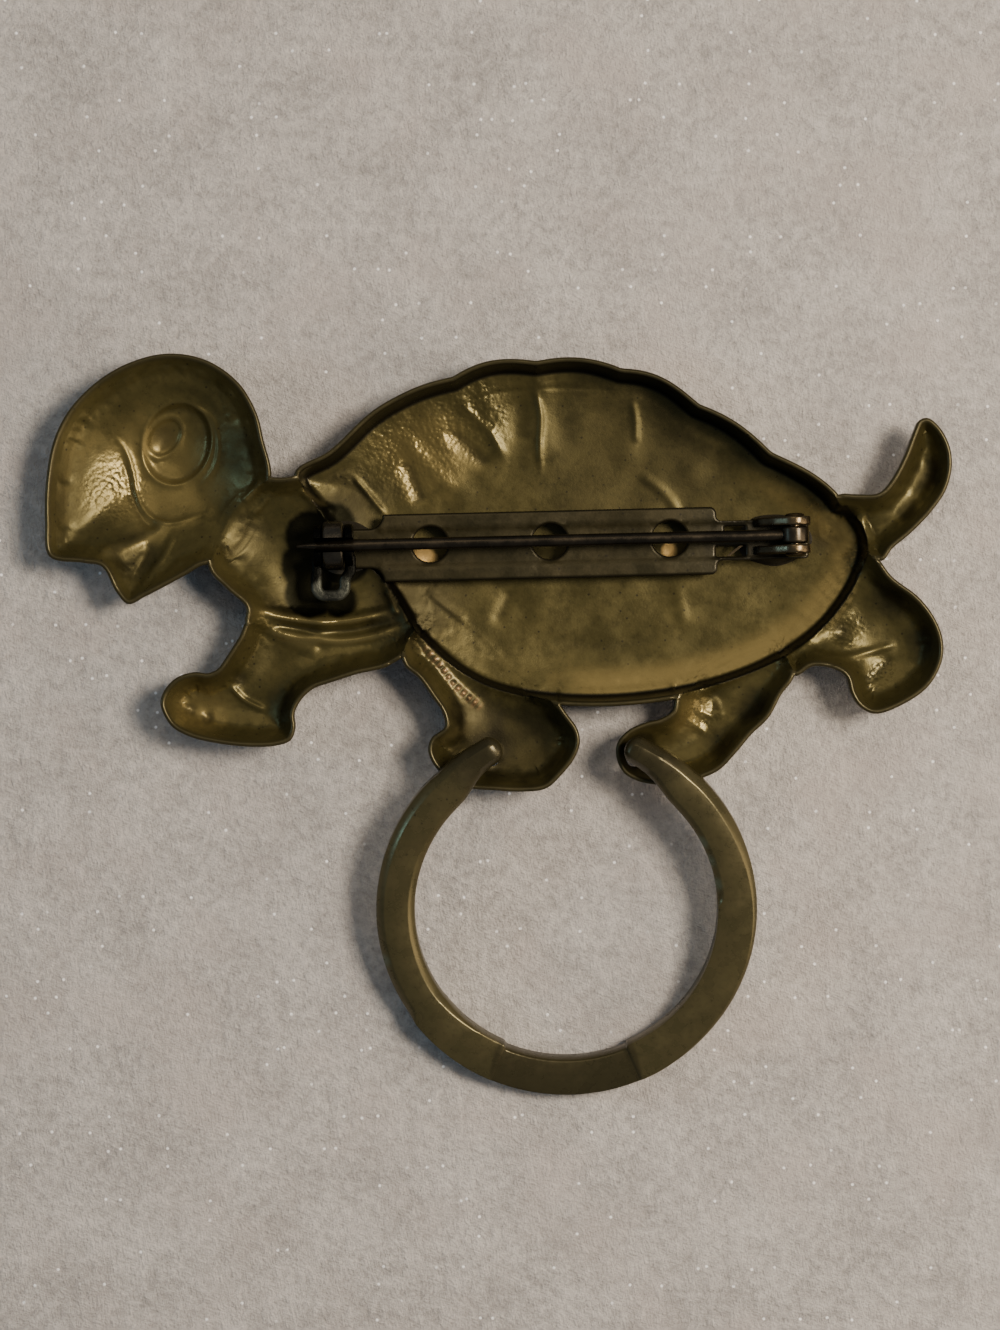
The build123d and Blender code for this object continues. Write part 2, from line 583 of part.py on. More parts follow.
def catch_sleeve():
    """The turning sleeve, its two collars and the thumb lever that bridges them, mouth upwards."""
    end = COLLAR_START + COLLAR_LENGTH
    sleeve = along_x(SLEEVE_RADIUS, -end, end)
    for side in (-1, 1):
        x = sorted((side * COLLAR_START, side * end))
        sleeve += along_x(COLLAR_RADIUS, x[0], x[1])
        z = (PIN_HEIGHT - LEVER_THICKNESS / 2, PIN_HEIGHT + LEVER_THICKNESS / 2)
        sleeve += block(x, (-LEVER_REACH, 0), z)
    z = (PIN_HEIGHT - LEVER_THICKNESS / 2, PIN_HEIGHT + LEVER_THICKNESS / 2)
    sleeve += block((-end, end), (-LEVER_REACH, -LEVER_REACH + LEVER_BAR), z)
    sleeve -= along_x(SLEEVE_BORE, -end - 1, end + 1)
    return sleeve - block((-end - 1, end + 1), (-CATCH_SLOT / 2, CATCH_SLOT / 2), (PIN_HEIGHT, 3 * PIN_HEIGHT))


def pin_stem():
    """The pin: a wire with a tapered point and a flattened eye on the rivet."""
    taper_end = PIN_TAPER - PIN_TIP
    wire = along_x(PIN_RADIUS, taper_end, PIN_SPAN - RIVET_RADIUS)
    point = Cone(PIN_RADIUS, PIN_POINT_RADIUS, PIN_TAPER)
    wire += Pos(taper_end - PIN_TAPER / 2, 0, PIN_HEIGHT) * Rot(0, -90, 0) * point
    eye = across(EYE_RADIUS, PIN_SPAN, -EYE_WIDTH / 2, EYE_WIDTH / 2)
    return (wire + eye) - across(RIVET_RADIUS + RUNNING_GAP, PIN_SPAN, -EYE_WIDTH, EYE_WIDTH)


def hinge_rivet():
    """The rivet through both ears, headed at both ends."""
    outer = HINGE_GAP / 2 + EAR_THICKNESS + SEAT_GAP
    rivet = across(RIVET_RADIUS, PIN_SPAN, -outer, outer)
    for side in (-1, 1):
        y = sorted((side * outer, side * (outer + RIVET_HEAD)))
        rivet += across(RIVET_HEAD_RADIUS, PIN_SPAN, y[0], y[1])
    return rivet


# Ring: built flat round its own middle, then tipped so that its far side lies on the table
PEG_LEFT = place("second_leg", 0.489, 0.333)
PEG_RIGHT = place("third_leg", 0.108, 0.352)
PEG_Y = PEG_LEFT[1]
RING_X = (PEG_LEFT[0] + PEG_RIGHT[0]) / 2 + RING_SHIFT
RING_OUTER_RADIUS = RING_INNER_RADIUS + RING_WIDTH
ROD_Z = RIM_Z + ROD_RISE + ROD_THICKNESS / 2
SWING_Z = RIM_Z - SWING_AXIS_DROP
FAR_REACH = RING_REACH + RING_OUTER_RADIUS
RING_TIP = degrees(asin(ROD_Z / hypot(FAR_REACH, RING_THICKNESS / 2)) - atan2(RING_THICKNESS / 2, FAR_REACH))
RING_PLACE = Pos(RING_X, PEG_Y, ROD_Z) * Rot(RING_TIP, 0, 0) * Pos(0, -RING_REACH, 0)


def ring_section(back_bevel, recess):
    """Corners of the ring's section: distance from its axis, and height."""
    low, high = -RING_THICKNESS / 2, RING_THICKNESS / 2 - recess
    inner, outer = RING_INNER_RADIUS, RING_OUTER_RADIUS
    corners = [
        (inner, low + RING_FRONT_BEVEL), (inner + RING_FRONT_BEVEL, low),
        (outer - RING_FRONT_BEVEL, low), (outer, low + RING_FRONT_BEVEL),
    ]
    if back_bevel:
        corners += [(outer, high - back_bevel), (outer - back_bevel, high),
                    (inner + back_bevel, high), (inner, high - back_bevel)]
    else:
        corners += [(outer, high), (inner, high)]
    return corners


def ring_arc(corners, start, end):
    """One stretch of the ring, turned about its axis from one angle to another."""
    face = make_face(Plane.XZ * Polyline(*corners, close=True))
    return Rot(0, 0, start) * revolve(face, axis=Axis.Z, revolution_arc=end - start)


def rod_end(side, peg_x):
    """The rod from the full ring to the peg, narrower and thinner towards its end."""
    turn = RING_ROUND_END if side > 0 else 180 - RING_ROUND_END
    middle = RING_INNER_RADIUS + RING_WIDTH / 2
    root = Vector(middle * cos(radians(turn)), middle * sin(radians(turn)), 0)
    tip = Vector(peg_x - RING_X, RING_REACH, 0)
    direction = Vector(-side * sin(radians(turn)), side * cos(radians(turn)), 0)
    sections = []
    for centre, width, thickness, bevel, back in (
        (root, RING_WIDTH, RING_THICKNESS, RING_BEVEL, 0.15),
        (tip, ROD_WIDTH, ROD_THICKNESS, RING_BEVEL, 0.0),
    ):
        half, tall, cut = width / 2, thickness / 2, bevel * 0.8
        corners = [
            (-half, -tall + cut), (-half + cut, -tall), (half - cut, -tall), (half, -tall + cut),
            (half, tall - cut), (half - cut, tall), (-half + cut, tall), (-half, tall - cut),
        ]
        way = direction if centre is root else (tip - root).normalized()
        plane = Plane(origin=centre - way * back, x_dir=Vector(way.Y, -way.X, 0), z_dir=way)
        sections.append(plane * make_face(Polyline(*corners, close=True)))
    return loft(sections, ruled=True)


def drop_ring():
    """The open ring with its two pegs, which pass down through the feet and turn over below them."""
    bevelled = ring_section(RING_BEVEL, 0.0)
    flat = ring_section(0.0, 0.0)
    low = ring_section(0.0, RING_RECESS)
    recess = 90 - RING_RECESS_ANGLE
    ring = ring_arc(low, -90 - RING_RECESS_ANGLE, -90 + RING_RECESS_ANGLE)
    ring += ring_arc(flat, -recess, -RING_BEVEL_END)
    ring += ring_arc(flat, -180 + RING_BEVEL_END, -180 + recess)
    ring += ring_arc(bevelled, -RING_BEVEL_END, RING_ROUND_END)
    ring += ring_arc(bevelled, 180 - RING_ROUND_END, 180 + RING_BEVEL_END)
    for side, peg in ((-1, PEG_LEFT), (1, PEG_RIGHT)):
        ring += rod_end(side, peg[0])
    ring = RING_PLACE * ring
    stub_z = RIM_Z - LEG_DEPTH - SHEET - PEG_STUB_DROP
    for side, peg in ((-1, PEG_LEFT), (1, PEG_RIGHT)):
        ring += Pos(peg[0], PEG_Y, ROD_Z) * Cylinder(ROD_WIDTH / 2, ROD_THICKNESS)
        ring += Pos(peg[0], PEG_Y, (ROD_Z + stub_z) / 2) * Cylinder(PEG_RADIUS, ROD_Z - stub_z)
        ring += Pos(peg[0], PEG_Y, stub_z) * Sphere(PEG_RADIUS)
        stub = Cylinder(PEG_STUB_RADIUS, PEG_STUB)
        ring += Pos(peg[0] + side * PEG_STUB / 2, PEG_Y, stub_z) * Rot(0, 90, 0) * stub
    return ring


def foot_slots():
    """Slots through the feet, longer across the swing's axis so that the pegs can tilt in them."""
    slots = None
    for peg in (PEG_LEFT, PEG_RIGHT):
        long = SLOT_HALF_LENGTH - SLOT_HALF_WIDTH
        slot = Pos(peg[0], PEG_Y, 0) * Box(2 * SLOT_HALF_WIDTH, 2 * long, 3 * RIM_Z)
        for y in (-long, long):
            slot += Pos(peg[0], PEG_Y + y, 0) * Cylinder(SLOT_HALF_WIDTH, 3 * RIM_Z)
        slots = slot if slots is None else slots + slot
    return slots


finding = plate() + hinge_ears() + catch_housing()
finding += solder(-HOUSING_LENGTH / 2, PLATE_START - SHOULDER)
finding += solder(HINGE_END - EAR_FOOT, HINGE_END - 0.4)
body = stamped_sheet() - foot_slots()
body = body + FINDING * finding

nodes = {
    "turtle_body": body,
    "pin_stem": FINDING * pin_stem(),
    "hinge_rivet": FINDING * hinge_rivet(),
    "catch_sleeve": FINDING * catch_sleeve(),
    "drop_ring": drop_ring(),
}

# The whole brooch is centred over the origin and stands on the plane z = 0
boxes = [shape.bounding_box() for shape in nodes.values()]
low = Vector(*(min(getattr(box.min, axis) for box in boxes) for axis in "XYZ"))
high = Vector(*(max(getattr(box.max, axis) for box in boxes) for axis in "XYZ"))
to_origin = Pos(-(low.X + high.X) / 2, -(low.Y + high.Y) / 2, -low.Z)

os.makedirs("parts", exist_ok=True)
for name, shape in nodes.items():
    solids = (to_origin * shape).solids()
    export_step(solids[0] if len(solids) == 1 else Compound(solids), f"parts/{name}.step")
    print(name, len(solids), "solids", round(shape.volume, 2), "mm3", "valid", shape.is_valid)

hinge = to_origin * FINDING * Pos(PIN_SPAN, 0, PIN_HEIGHT)
catch = to_origin * FINDING * Pos(0, 0, PIN_HEIGHT)
swing = to_origin * Pos(RING_X, PEG_Y, SWING_Z)
ring_middle = to_origin * RING_PLACE
print("shell middle", to_origin.position)
print("hinge", hinge.position, "catch", catch.position, "swing", swing.position)
print("ring middle", ring_middle.position, "tip", round(RING_TIP, 4), "low", low, "high", high)
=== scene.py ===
import json
from collections import namedtuple
from functools import reduce
from math import acos, asin, atan2, ceil, cos, hypot, pi, radians, sin, tau

import bmesh
import bpy
import numpy as np
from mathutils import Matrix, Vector, noise
from mathutils.geometry import delaunay_2d_cdt


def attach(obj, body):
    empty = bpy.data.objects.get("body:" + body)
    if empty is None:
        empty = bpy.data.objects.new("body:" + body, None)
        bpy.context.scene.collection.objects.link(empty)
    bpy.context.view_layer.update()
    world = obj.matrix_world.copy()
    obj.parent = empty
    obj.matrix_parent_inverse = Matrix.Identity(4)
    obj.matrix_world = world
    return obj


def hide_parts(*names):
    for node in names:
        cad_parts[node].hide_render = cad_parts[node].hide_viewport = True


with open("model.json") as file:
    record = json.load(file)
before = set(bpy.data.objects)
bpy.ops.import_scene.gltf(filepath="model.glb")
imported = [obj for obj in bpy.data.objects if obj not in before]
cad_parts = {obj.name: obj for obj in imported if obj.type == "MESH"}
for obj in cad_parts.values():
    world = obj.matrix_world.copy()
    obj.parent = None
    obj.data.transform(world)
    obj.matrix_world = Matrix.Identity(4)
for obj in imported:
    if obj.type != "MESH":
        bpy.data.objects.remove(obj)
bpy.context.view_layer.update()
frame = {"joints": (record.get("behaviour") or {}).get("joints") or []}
joints = {joint["name"]: joint for joint in frame["joints"]}


# Stamped turtle, seen in its hollow back. It is pressed from one sheet of brass, trimmed round its
# outline and antiqued to an olive brown, and the pin's bar is soldered into it. Lengths are in
# millimetres everywhere, and only a finished mesh is turned into metres.
MM = 0.001
SHEET = 0.65            # thickness of the brass
SHELL_DEPTH = 3.95      # hollow of the shell, from the rim's plane down to its floor
HEAD_DEPTH = 3.4
NECK_DEPTH = 2.7
LEG_DEPTH = 2.4
TAIL_DEPTH = 1.9
WALL_FILLET = 0.5       # share of a side wall's width in which it rounds into the hollow
RIM_WIDTH = 0.36        # the cut edge round the rim, before the hollow falls away
RIM_EDGE = 0.4          # height of that edge's outer side
RIM_ROUNDING = 0.15     # its two corners are rounded off by this
RIM_Z = SHELL_DEPTH + SHEET
SCALLOP_LENGTH = 6.6    # one scallop of the shell's upper edge
SCALLOP_RISE = 0.36
SCALLOPS = 5
BORDER_RIDGE = 0.36     # ridge where the shell meets neck and legs
BORDER_OUTSIDE = 0.50   # its width down to the limbs
BORDER_INSIDE = 1.6     # and down to the shell's floor
BORDER_INSET = 0.5
EYE_DEPTH = 0.4
EYE_RING = 0.15         # rise of the ring round the eye, and of the one round its pupil
EYE_GROOVE = 0.08       # depth of the groove inside the eye's ring
PUPIL_HOLLOW = 0.16
FAR_IN = 14.0           # distances from an outline are worked out up to here inside it
FAR_OUT = 2.5           # and up to here outside it
GRID_STEP = 0.27        # spacing of the mesh on the floor
FINE_STEP = 0.13        # spacing along the engraved lines
RIM_STEP = 0.28
# Rows of mesh points along each outline: this far in from the rim, and beside the seam of two limbs
RIM_ROWS = (
    0.03, 0.08, 0.15, 0.22, 0.30, 0.36, 0.43, 0.52, 0.60, 0.68, 0.76, 0.84, 1.0, 1.15, 1.3, 1.45, 1.7)
SEAM_ROWS = (-0.15, 0.08, 0.22, 0.32, 0.38, 0.46, 0.56, 0.66, 0.76, 0.86, 0.96, 1.1, 1.3)

# Limb outlines, whose points are shares of each limb's box from its left and from its lower side
OUTLINES = {
    "shell": [
        (0.0, 0.665), (0.06, 0.73), (0.14, 0.85), (0.235, 0.93), (0.33, 0.985), (0.46, 1.0), (0.6, 0.965),
        (0.71, 0.87), (0.85, 0.715), (0.953, 0.6), (1.0, 0.5), (0.99, 0.375), (0.925, 0.215),
        (0.815, 0.095), (0.655, 0.017), (0.47, 0.0), (0.32, 0.05), (0.21, 0.19), (0.155, 0.33),
        (0.06, 0.5),
    ],
    "head": [
        (0.02, 0.19), (0.0, 0.335), (0.005, 0.495), (0.04, 0.655), (0.11, 0.775), (0.24, 0.89),
        (0.39, 0.965), (0.56, 1.0), (0.735, 0.975), (0.885, 0.885), (0.97, 0.76), (1.0, 0.655),
        (1.035, 0.525), (0.995, 0.335), (0.87, 0.175), (0.72, 0.155), (0.64, 0.115), (0.455, 0.03),
        (0.38, 0.0), (0.325, 0.05), (0.26, 0.15), (0.175, 0.165),
    ],
    "neck": [
        (0.34, 0.965), (0.595, 1.0), (1.0, 0.655), (0.98, 0.21), (0.835, 0.045), (0.55, 0.0),
        (0.17, 0.235), (0.17, 0.32), (0.085, 0.41), (0.0, 0.52), (0.03, 0.8), (0.19, 0.96),
    ],
    "front_leg": [
        (1.0, 0.69), (0.83, 0.59), (0.735, 0.53), (0.655, 0.475), (0.6, 0.375), (0.575, 0.27),
        (0.58, 0.165), (0.56, 0.055), (0.5, 0.01), (0.385, 0.0), (0.255, 0.025), (0.13, 0.08),
        (0.05, 0.165), (0.01, 0.285), (0.0, 0.37), (0.02, 0.475), (0.075, 0.575), (0.15, 0.615),
        (0.205, 0.605), (0.245, 0.64), (0.285, 0.745), (0.34, 0.91), (0.38, 1.055), (0.685, 1.205),
        (1.03, 0.875),
    ],
    "second_leg": [
        (0.865, 0.73), (0.925, 0.62), (0.985, 0.5), (1.0, 0.395), (0.97, 0.27), (0.895, 0.135),
        (0.805, 0.025), (0.67, 0.0), (0.515, 0.01), (0.36, 0.03), (0.235, 0.11), (0.155, 0.23),
        (0.13, 0.335), (0.15, 0.43), (0.225, 0.515), (0.215, 0.62), (0.15, 0.76), (0.075, 0.905),
        (-0.01, 1.015), (-0.02, 1.28), (0.3, 1.42), (0.715, 0.89),
    ],
    "third_leg": [
        (1.0, 1.0), (0.94, 0.87), (0.865, 0.65), (0.765, 0.49), (0.675, 0.315), (0.585, 0.165),
        (0.505, 0.1), (0.36, 0.02), (0.215, 0.03), (0.115, 0.065), (0.04, 0.14), (0.0, 0.28),
        (0.005, 0.415), (0.07, 0.535), (0.175, 0.61), (0.25, 0.64), (0.32, 0.72), (0.335, 0.835),
        (0.415, 1.045), (0.9, 1.42), (1.03, 1.2),
    ],
    "rear_leg": [
        (0.67, 1.03), (0.84, 0.88), (0.95, 0.715), (1.0, 0.555), (0.995, 0.4), (0.915, 0.22),
        (0.77, 0.09), (0.56, 0.0), (0.46, 0.05), (0.4, 0.15), (0.365, 0.28), (0.28, 0.34), (0.145, 0.355),
        (0.035, 0.285), (-0.1, 0.48), (0.0, 0.75), (0.3, 1.1), (0.5, 1.25),
    ],
    "tail": [
        (0.11, 0.47), (0.32, 0.48), (0.44, 0.575), (0.56, 0.745), (0.645, 0.91), (0.69, 0.98),
        (0.775, 1.0), (0.89, 0.93), (0.98, 0.8), (1.0, 0.665), (0.945, 0.5), (0.815, 0.355), (0.615, 0.2),
        (0.44, 0.09), (0.355, 0.01), (0.12, 0.05), (-0.22, 0.16), (-0.24, 0.36), (-0.05, 0.47),
    ],
}

# Where each limb grows from, its own point there, its plan size, the depth of its hollow, the share of
# it that the steep wall takes, the wall's width, and the distance over which the rest rounds down
Limb = namedtuple(
    "Limb", "name seat seat_along seat_up own_along own_up length height depth steep wall bowl")
LIMBS = [
    Limb("shell", None, 0.0, 0.0, 0.5, 0.5, 43.7, 26.4, SHELL_DEPTH, 0.88, 0.45, 8.0),
    Limb("neck", "shell", 0.183, 0.417, 0.865, 0.555, 16.75, 15.25, NECK_DEPTH, 0.30, 1.0, 4.2),
    Limb("head", "neck", 0.144, 0.752, 0.894, 0.335, 16.5, 18.95, HEAD_DEPTH, 0.12, 1.2, 7.5),
    Limb("front_leg", "neck", 0.685, 0.134, 0.858, 0.836, 17.6, 9.2, LEG_DEPTH, 0.50, 1.1, 3.0),
    Limb("second_leg", "shell", 0.304, 0.074, 0.371, 0.889, 13.2, 9.5, LEG_DEPTH, 0.50, 1.1, 3.2),
    Limb("third_leg", "shell", 0.770, 0.103, 0.700, 1.093, 13.3, 8.15, LEG_DEPTH, 0.50, 1.1, 3.0),
    Limb("rear_leg", "shell", 0.952, 0.289, 0.360, 0.820, 11.55, 10.05, LEG_DEPTH, 0.50, 1.1, 3.2),
    Limb("tail", "shell", 0.981, 0.503, 0.159, 0.222, 8.1, 10.9, TAIL_DEPTH, 0.40, 1.0, 2.2),
]

# Lines pressed into the sheet: half width and rise in millimetres, where a negative rise is a groove
# in the hollow back, and the points that the line runs through
Line = namedtuple("Line", "limb half_width rise points")
BROAD_LINES = [
    Line("shell", 0.9, 0.11, [(0.235, 0.84), (0.285, 0.64)]),
    Line("shell", 0.8, 0.12, [(0.33, 0.89), (0.36, 0.74)]),
    Line("shell", 0.8, 0.13, [(0.427, 0.92), (0.435, 0.75)]),
    Line("shell", 0.9, 0.10, [(0.59, 0.88), (0.58, 0.73)]),
    Line("shell", 0.9, 0.10, [(0.735, 0.79), (0.69, 0.67)]),
    Line("neck", 0.8, 0.40, [(0.2, 0.29), (0.5, 0.24)]),
    Line("neck", 0.8, 0.40, [(0.5, 0.24), (0.8, 0.29)]),
]
FINE_LINES = [
    Line("head", 0.34, 0.07, [
        (0.491, 0.866), (0.564, 0.886), (0.637, 0.882), (0.711, 0.858), (0.766, 0.814), (0.798, 0.75),
    ]),
    Line("head", 0.20, 0.13, [
        (0.294, 0.683), (0.34, 0.639), (0.368, 0.583), (0.386, 0.519), (0.4, 0.451), (0.427, 0.396),
        (0.473, 0.352), (0.528, 0.332), (0.592, 0.332), (0.656, 0.352), (0.711, 0.368),
    ]),
    Line("head", 0.22, -0.10, [
        (0.322, 0.61), (0.355, 0.53), (0.37, 0.46), (0.4, 0.385), (0.45, 0.325), (0.52, 0.305),
    ]),
    Line("head", 0.60, 0.26, [
        (0.235, 0.165), (0.29, 0.212), (0.354, 0.228), (0.445, 0.264), (0.514, 0.308), (0.56, 0.345),
    ]),
    Line("head", 0.26, 0.10, [(0.445, 0.22), (0.404, 0.161), (0.35, 0.08)]),
    Line("head", 0.30, 0.13, [(0.583, 0.3), (0.541, 0.204), (0.482, 0.125), (0.418, 0.045)]),
    Line("neck", 0.6, 0.05, [(0.342, 0.822), (0.369, 0.704), (0.374, 0.575), (0.351, 0.407)]),
    Line("neck", 0.5, 0.08, [(-0.01, 0.79), (-0.014, 0.664), (0.0, 0.535)]),
    Line("neck", 0.3, 0.22, [(0.144, 0.847), (0.198, 0.897), (0.243, 0.966)]),
    Line("neck", 0.28, 0.18, [(0.184, 0.783), (0.229, 0.827), (0.265, 0.882)]),
    Line("neck", 0.38, 0.32, [
        (0.17, 0.325), (0.279, 0.293), (0.414, 0.263), (0.549, 0.253), (0.685, 0.268), (0.815, 0.31),
    ]),
    Line("neck", 0.38, 0.32, [
        (0.225, 0.22), (0.369, 0.179), (0.504, 0.159), (0.64, 0.159), (0.766, 0.189), (0.9, 0.245),
    ]),
    Line("neck", 0.30, -0.16, [(0.24, 0.25), (0.39, 0.222), (0.53, 0.206), (0.66, 0.212), (0.83, 0.26)]),
    Line("neck", 0.22, 0.18, [(0.793, 0.416), (0.82, 0.356), (0.851, 0.277)]),
    Line("neck", 0.30, 0.22, [(0.395, 0.92), (0.482, 0.857), (0.575, 0.785)]),
    Line("shell", 0.24, 0.13, [(0.096, 0.668), (0.124, 0.614), (0.156, 0.55)]),
    Line("front_leg", 0.25, 0.18, [(0.291, 0.5), (0.351, 0.385), (0.446, 0.295)]),
    Line("front_leg", 0.50, 0.16, [(0.455, 0.93), (0.557, 0.861), (0.69, 0.775)]),
    Line("second_leg", 0.55, 0.22, [(0.188, 0.364), (0.245, 0.436), (0.33, 0.505)]),
    Line("shell", 0.60, 0.13, [(0.183, 0.777), (0.218, 0.72), (0.276, 0.615)]),
    Line("shell", 0.55, -0.18, [(0.186, 0.715), (0.204, 0.646), (0.219, 0.58)]),
    Line("shell", 0.60, -0.14, [(0.262, 0.805), (0.3, 0.746), (0.34, 0.69)]),
    Line("shell", 0.35, 0.12, [(0.285, 0.88), (0.314, 0.832), (0.342, 0.783), (0.362, 0.715)]),
    Line("shell", 0.24, 0.13, [(0.416, 0.92), (0.427, 0.84), (0.425, 0.76), (0.427, 0.68)]),
    Line("shell", 0.70, -0.08, [(0.392, 0.895), (0.387, 0.76)]),
    Line("shell", 0.28, 0.09, [(0.587, 0.885), (0.594, 0.823), (0.594, 0.756)]),
    Line("shell", 0.40, 0.07, [(0.598, 0.675), (0.646, 0.614), (0.672, 0.55)]),
    Line("shell", 0.20, -0.04, [
        (0.292, 0.874), (0.342, 0.903), (0.414, 0.918), (0.494, 0.92), (0.58, 0.908),
    ]),
    Line("shell", 0.30, 0.05, [(0.735, 0.725), (0.805, 0.795)]),
    Line("shell", 0.45, 0.05, [(0.668, 0.35), (0.672, 0.3), (0.678, 0.24)]),
    Line("shell", 0.30, 0.07, [(0.226, 0.335), (0.261, 0.286), (0.3, 0.24)]),
    Line("shell", 0.50, -0.08, [(0.376, 0.338), (0.362, 0.285), (0.346, 0.235)]),
    Line("shell", 0.70, -0.07, [(0.432, 0.19), (0.529, 0.171), (0.598, 0.183), (0.66, 0.213)]),
    Line("third_leg", 0.30, 0.09, [(0.43, 0.775), (0.542, 0.665), (0.64, 0.712)]),
    Line("third_leg", 0.30, 0.07, [(0.474, 0.934), (0.565, 0.841), (0.605, 0.69)]),
    Line("third_leg", 0.30, 0.10, [(0.405, 0.63), (0.52, 0.5)]),
    Line("rear_leg", 0.30, 0.14, [
        (0.07, 0.53), (0.242, 0.435), (0.4, 0.43), (0.51, 0.458), (0.745, 0.535),
    ]),
    Line("rear_leg", 0.50, -0.12, [(0.49, 0.23), (0.588, 0.323), (0.7, 0.425)]),
    Line("tail", 0.22, -0.10, [(0.19, 0.4), (0.26, 0.27), (0.334, 0.15)]),
    Line("head", 0.20, 0.10, [(0.651, 0.8), (0.743, 0.761), (0.78, 0.665), (0.766, 0.562), (0.697, 0.482)]),
]
ROPE_LINE = Line("second_leg", 0.27, 0.11, [(0.085, 1.185), (0.205, 0.992), (0.296, 0.833), (0.44, 0.66)])
ROPE_PITCH = 0.56       # one turn of the twisted fold on the second leg
Dimple = namedtuple("Dimple", "limb along up radius rise")
DIMPLES = [
    Dimple("front_leg", 0.120, 0.303, 0.42, -0.26),
    Dimple("front_leg", 0.192, 0.232, 0.42, -0.26),
    Dimple("front_leg", 0.330, 0.560, 0.55, -0.20),
    Dimple("third_leg", 0.560, 0.860, 0.60, -0.16),
    Dimple("rear_leg", 0.360, 0.620, 0.70, -0.18),
]
PEG_SHARES = (("second_leg", 0.489, 0.333), ("third_leg", 0.108, 0.352))
RING_SHIFT = 0.25       # the ring's middle lies this far to the tail's side of the pegs' middle
SLOT_HALF_WIDTH = 0.68
SLOT_HALF_LENGTH = 1.04
SLOT_DROP = 0.29        # the slot reaches further towards the ring, where the swinging peg needs it
JOIN_POWER = 8          # how tightly the hollows of two limbs run into each other
RELIEF_DEPTH = 2.0      # the pressed lines have their full height from this depth down
RIPPLE = 0.05           # slow waves of the pressed floor
RIPPLES_PER_MM = 0.45
THINNEST = 0.3          # the sheet is nowhere thinner


def limb_corners():
    """Lower left corner of each limb's box, with the shell where the ring's hinge puts it."""
    sizes = {limb.name: np.array([limb.length, limb.height]) for limb in LIMBS}
    corners = {}
    for limb in LIMBS:
        seat = np.zeros(2)
        if limb.seat:
            seat = corners[limb.seat] + np.array([limb.seat_along, limb.seat_up]) * sizes[limb.seat]
        corners[limb.name] = seat - np.array([limb.own_along, limb.own_up]) * sizes[limb.name]
    left, right = (corners[name] + np.array([along, up]) * sizes[name] for name, along, up in PEG_SHARES)
    swing = np.array(joints["ring_swing"]["pos_m"][:2]) / MM
    shift = swing - np.array([(left[0] + right[0]) / 2 + RING_SHIFT, left[1]])
    return {name: corner + shift for name, corner in corners.items()}, sizes


CORNERS, SIZES = limb_corners()


def place(limb_name, share):
    """A point of a limb's box, in plan."""
    return CORNERS[limb_name] + np.array(share) * SIZES[limb_name]


def smooth_path(points, closed, step):
    """A curve through the points, eased by the distances between them, as evenly spaced points."""
    count = len(points)
    curve = []
    for i in range(count if closed else count - 1):
        if closed:
            p = [points[(i + k - 1) % count] for k in range(4)]
        else:
            before = points[i - 1] if i else 2 * points[0] - points[1]
            after = points[i + 2] if i + 2 < count else 2 * points[-1] - points[-2]
            p = [before, points[i], points[i + 1], after]
        knots = [0.0]
        for a, b in zip(p, p[1:]):
            knots.append(knots[-1] + max(np.linalg.norm(b - a), 1e-6) ** 0.5)
        for t in np.linspace(knots[1], knots[2], 12, endpoint=False):
            level = list(p)
            for width in (1, 2, 3):
                low = [knots[1]] if width == 3 else knots[:4 - width]
                high = [knots[2]] if width == 3 else knots[width:]
                level = [a + (b - a) * (t - u) / (v - u) for a, b, u, v in zip(level, level[1:], low, high)]
            curve.append(level[0])
    curve.append(curve[0] if closed else points[-1])
    curve = np.array(curve)
    lengths = np.concatenate([[0.0], np.cumsum(np.linalg.norm(np.diff(curve, axis=0), axis=1))])
    pieces = max(8, round(lengths[-1] / step)) if closed else max(2, ceil(lengths[-1] / step))
    at = np.linspace(0.0, lengths[-1], pieces + (0 if closed else 1), endpoint=not closed)
    return np.column_stack([np.interp(at, lengths, curve[:, k]) for k in range(curve.shape[1])])


def inward_normals(loop):
    along = np.roll(loop, -1, axis=0) - np.roll(loop, 1, axis=0)
    normals = np.column_stack([along[:, 1], -along[:, 0]])
    normals /= np.linalg.norm(normals, axis=1)[:, None]
    following = np.roll(loop, -1, axis=0)
    area = np.sum(loop[:, 0] * following[:, 1] - following[:, 0] * loop[:, 1])
    return -normals if area > 0 else normals


def line_distance(points, path, reach, margin=None):
    """Distance from each point to a path, at most reach, and the share of the path passed there."""
    distance = np.full(len(points), reach)
    passed = np.zeros(len(points))
    margin = reach if margin is None else margin
    low, high = path.min(axis=0) - margin, path.max(axis=0) + margin
    near = np.nonzero(np.all((points > low) & (points < high), axis=1))[0]
    start, edge = path[:-1], np.diff(path, axis=0)
    for part in np.array_split(near, ceil(len(near) / 3000) or 1):
        offset = points[part][:, None, :] - start[None]
        share = np.clip(np.sum(offset * edge, axis=2) / np.sum(edge * edge, axis=1), 0.0, 1.0)
        gap = np.linalg.norm(offset - share[..., None] * edge, axis=2)
        nearest = gap.argmin(axis=1)
        rows = np.arange(len(part))
        distance[part] = np.minimum(gap[rows, nearest], reach)
        passed[part] = (nearest + share[rows, nearest]) / len(edge)
    return distance, passed


